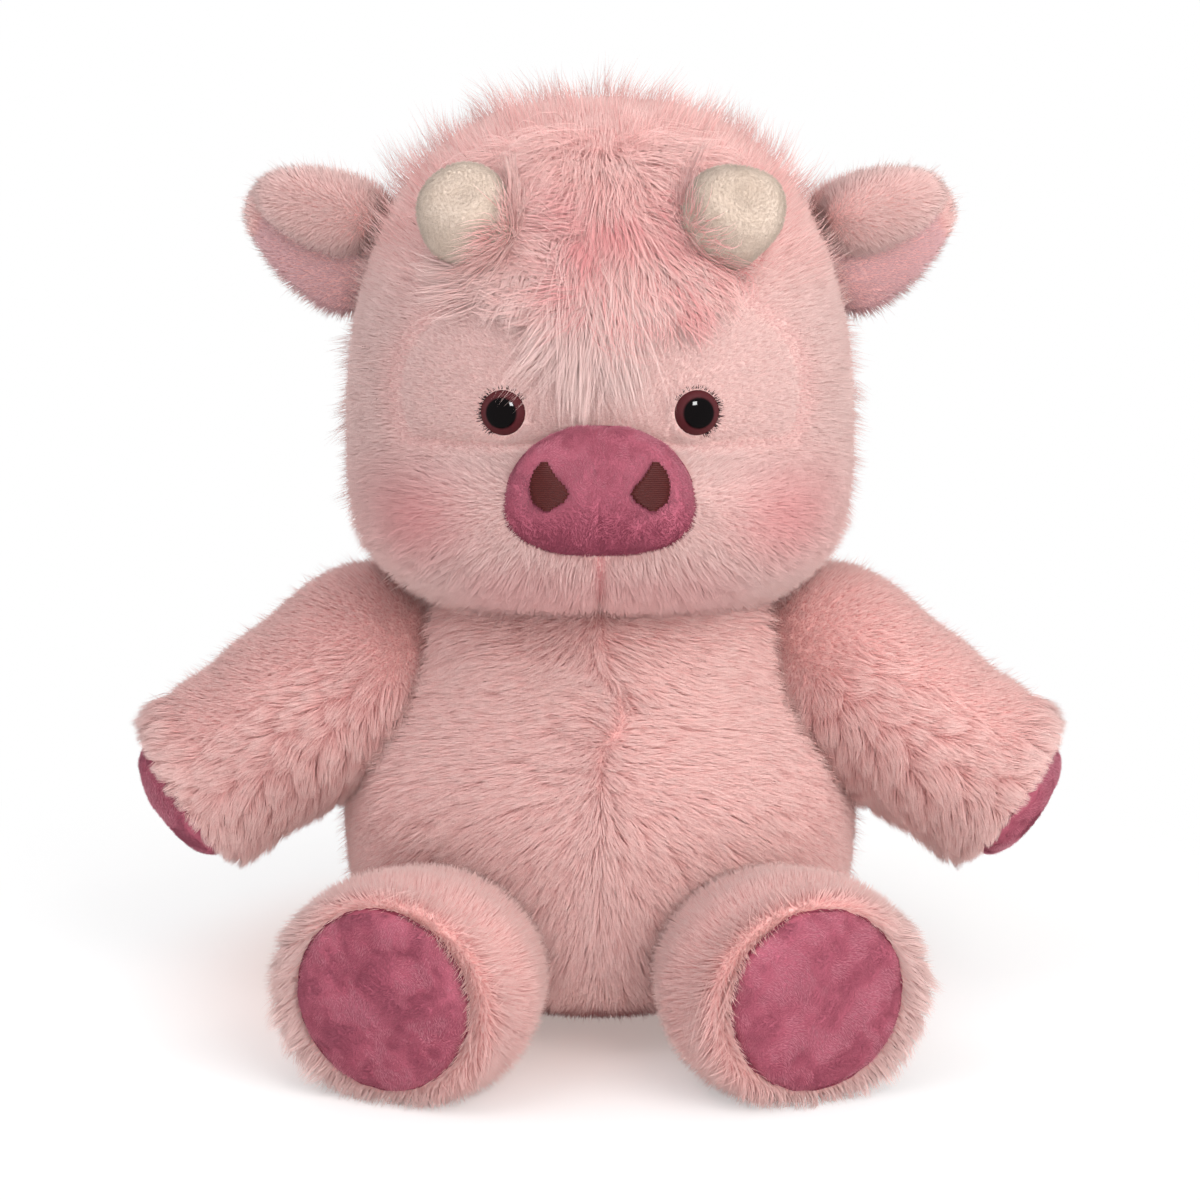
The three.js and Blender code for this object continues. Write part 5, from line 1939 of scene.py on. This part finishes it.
@dataclass
class Tail:
    """A short plush tail with a tuft of longer pile at its end."""

    root: Point = (0.0, 80.342, 42.0)
    lean: float = 34.0
    ball: float = 8.0
    tip: float = 5.0
    length: float = 23.0
    tuft_length: float = 20.0
    pile_depth: float = 2.5
    coat: Coat = Coat(length=6.0, density=3.0, lie=62, thickness=0.15, soft=0.6)
    tuft_coat: Coat = Coat(length=15.0, density=5.0, rise=30, lie=66, thickness=0.13, gather=0.6, segments=3,
                           soft=0.4)

    def build(self) -> None:
        """Makes the cord and the tuft with their pile."""
        turn = math.radians(self.lean)
        origin, way = np.array(self.root), np.array([0, math.sin(turn), -math.cos(turn)])
        slim = self.pile_depth
        arc = np.linspace(-math.pi / 2, 0, 8)
        ball = np.stack([(self.ball - slim) * np.cos(arc), (self.ball - slim) * np.sin(arc)], 1)
        ball[0, 0] = 0
        side = bezier((self.ball - slim, 0), (self.ball - slim, 8), (self.tip - slim + 1, 15),
                      (self.tip - slim + 1, self.length))
        cord = spindle(evened(np.vstack([ball, side[1:], [(0, self.length)]]), 1.5), origin, way, 32)
        start, end = self.length - 1, self.length + self.tuft_length * 0.45
        drop = bezier((self.tip - slim, start), (6.5, start + 3), (6.0, end - 2), (0, end))
        tuft = spindle(evened(np.vstack([[(0, start)], drop]), 1.2), origin, way, 32)
        for surface, name, node, coat, slot in ((cord, "tail_cord", "tail", self.coat, "plush_pink"),
                                                (tuft, "tail_end", "tail_tuft", self.tuft_coat, "plush_pale")):
            skin = surface.piece(f"{name}_cloth", GROUND.material())
            roots = surface.roots(coat.density, name)
            flow = np.tile(way, (len(roots.points), 1))
            pile = coat.grow(f"{name}_pile", roots, flow, PLUSH,
                             pale=np.full(len(roots.points), 0.8 if node == "tail_tuft" else 0.1))
            worn([skin, *pile], node, lambda piece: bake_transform(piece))


@dataclass
class Neck:
    """The packed fibre at the neck, which the head nods and turns on."""

    place: Point = (0.0, 0.0, 98.0)
    inner: float = 56.6
    outer: float = 63.4
    spread: float = 31.0

    def build(self) -> None:
        """Makes the wad."""
        turn = np.radians(np.linspace(0, self.spread, 14))
        under = np.stack([self.inner * np.sin(turn), self.inner * np.cos(turn)], 1)
        over = np.stack([self.outer * np.sin(turn), self.outer * np.cos(turn)], 1)[::-1]
        surface = spindle(evened(np.vstack([under, over]), 1.6), self.place, UP, 72)
        lumps = 0.5 * Drift(41, 11).at(surface.points)
        wad = surface.moved(-surface.normals() * np.abs(lumps)[:, None]).piece("neck_fibre", FIBRE.material())
        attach(wad, "neck")
        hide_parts("neck_wad")


@dataclass(frozen=True)
class Lamp:
    """A soft square lamp, which may be kept out of mirrors or light nothing but mirrors."""

    name: str
    place: Point
    size: float
    watts: float
    colour: Point = (1.0, 0.98, 0.96)
    mirrored: bool = False
    matt: bool = True

    def build(self, aim: Vector) -> None:
        """Makes the lamp.

        Args:
            aim: the point that it looks at.
        """
        data = bpy.data.lights.new(self.name, "AREA")
        data.size, data.energy, data.color = self.size * MM, self.watts, self.colour
        lamp = bpy.data.objects.new(self.name, data)
        lamp.location = Vector(self.place) * MM
        lamp.rotation_euler = (aim - Vector(self.place)).to_track_quat("-Z", "Y").to_euler()
        lamp.visible_glossy, lamp.visible_diffuse = self.mirrored, self.matt
        bpy.context.scene.collection.objects.link(lamp)


LAMPS = (
    Lamp("key_lamp", (720, -1020, 820), 1000, 14.8),
    Lamp("glint_lamp", (160, -760, 620), 200, 15.0, (1.0, 1.0, 1.0), mirrored=True, matt=False),
    Lamp("top_lamp", (60, -260, 1000), 700, 1.2, (1.0, 0.99, 0.98), mirrored=True),
    Lamp("low_lamp", (-100, -820, 100), 480, 1.3, (1.0, 0.96, 0.94)),
    Lamp("fill_lamp", (-440, -420, 760), 560, 2.3, (0.92, 0.96, 1.0)),
    Lamp("back_lamp", (-60, 900, 480), 600, 3.2),
)


@dataclass
class Studio:
    """A plain pale floor, soft light and a camera at the photograph's angle."""

    aim: Point = (0.0, 0.0, 118.5)
    distance: float = 900.0
    elevation: float = 12.0
    lens: float = 90.0
    shift: Point = (0.02, 0.0, 0.0)
    # Painted bounce light: the pink floor and glow colours near the calf.
    pink_floor: Colour = (0.97, 0.82, 0.79, 1.0)
    pale_floor: Colour = (0.97, 0.97, 0.975, 1.0)
    pink_glow: Colour = (1.0, 0.82, 0.77, 1.0)
    white: Colour = (1.0, 1.0, 1.0, 1.0)

    def build(self) -> None:
        """Makes the camera, the lamps, the floor and the world."""
        self.camera()
        for lamp in LAMPS:
            lamp.build(Vector(self.aim))
        self.floor()
        self.world()
        bpy.context.scene.view_settings.view_transform = "Standard"

    def camera(self) -> None:
        """Makes the camera."""
        tilt = math.radians(self.elevation)
        back = Vector((0, -math.cos(tilt), math.sin(tilt)))
        data = bpy.data.cameras.new("camera")
        data.lens, data.sensor_width = self.lens, 36.0
        data.clip_start, data.clip_end = 0.05, 50.0
        camera = bpy.data.objects.new("camera", data)
        camera.location = (Vector(self.aim) + back * self.distance) * MM
        camera.rotation_euler = (-back).to_track_quat("-Z", "Y").to_euler()
        bpy.context.scene.collection.objects.link(camera)
        bpy.context.scene.camera = camera

    def floor(self) -> None:
        """Makes the floor, painted pink near the calf for the light that it throws back, and plain white away from
        it.
        """
        turn = np.linspace(0, 2 * math.pi, 96, endpoint=False)
        rim = np.stack([np.cos(turn), np.sin(turn), np.zeros(96)], 1) * 4.0
        mesh = bpy.data.meshes.new("floor")
        mesh.from_pydata(rim.tolist(), [], [list(range(96))])
        floor = shown("floor", mesh)
        material = bpy.data.materials.new("pale_floor")
        board = emptied(material)
        aside = board.node("ShaderNodeVectorMath", {0: board.place(), 1: self.shift}, operation="ADD").outputs[0]
        away = board.node("ShaderNodeVectorMath", {0: aside}, operation="LENGTH").outputs["Value"]
        # Painted bounce light: near the calf the floor's colour and its glow are painted pink.
        near = board.span(away, 0.05, 0.14)
        white = board.node("ShaderNodeEmission", {"Color": board.mix(near, self.pink_glow, self.white)})
        matt = board.node("ShaderNodeBsdfDiffuse", {"Color": board.mix(near, self.pink_floor, self.pale_floor)})
        share = board.math("MULTIPLY", board.span(away, 0.1, 0.28, 0.38, 1.0), board.seen())
        blend = board.node("ShaderNodeMixShader", {0: share, 1: matt.outputs[0], 2: white.outputs[0]})
        board.node("ShaderNodeOutputMaterial", {"Surface": blend.outputs[0]})
        mesh.materials.append(material)

    def world(self) -> None:
        """Makes a world that looks white and gives an even light."""
        world = bpy.data.worlds.new("pale_world")
        bpy.context.scene.world = world
        board = emptied(world)
        strength = board.span(board.seen(), 0.0, 1.0, 0.55, 1.0)
        light = board.node("ShaderNodeBackground", {"Color": self.white, "Strength": strength})
        board.node("ShaderNodeOutputWorld", {"Surface": light.outputs[0]})


def main() -> None:
    """Builds the studio and the calf, piece by piece."""
    logging.basicConfig(level=logging.INFO, format="%(name)s: %(message)s")
    Studio().build()
    torso = Torso()
    limbs = limb_pairs()
    torso.build(limbs)
    for limb in limbs:
        limb.build(torso.outside)
    Neck().build()
    Head().build()
    Nose().build()
    for side in Side:
        Eye(side).build()
        Horn(side).build()
        Ear(side).build()
    Tail().build()


if __name__ == "__main__":
    main()
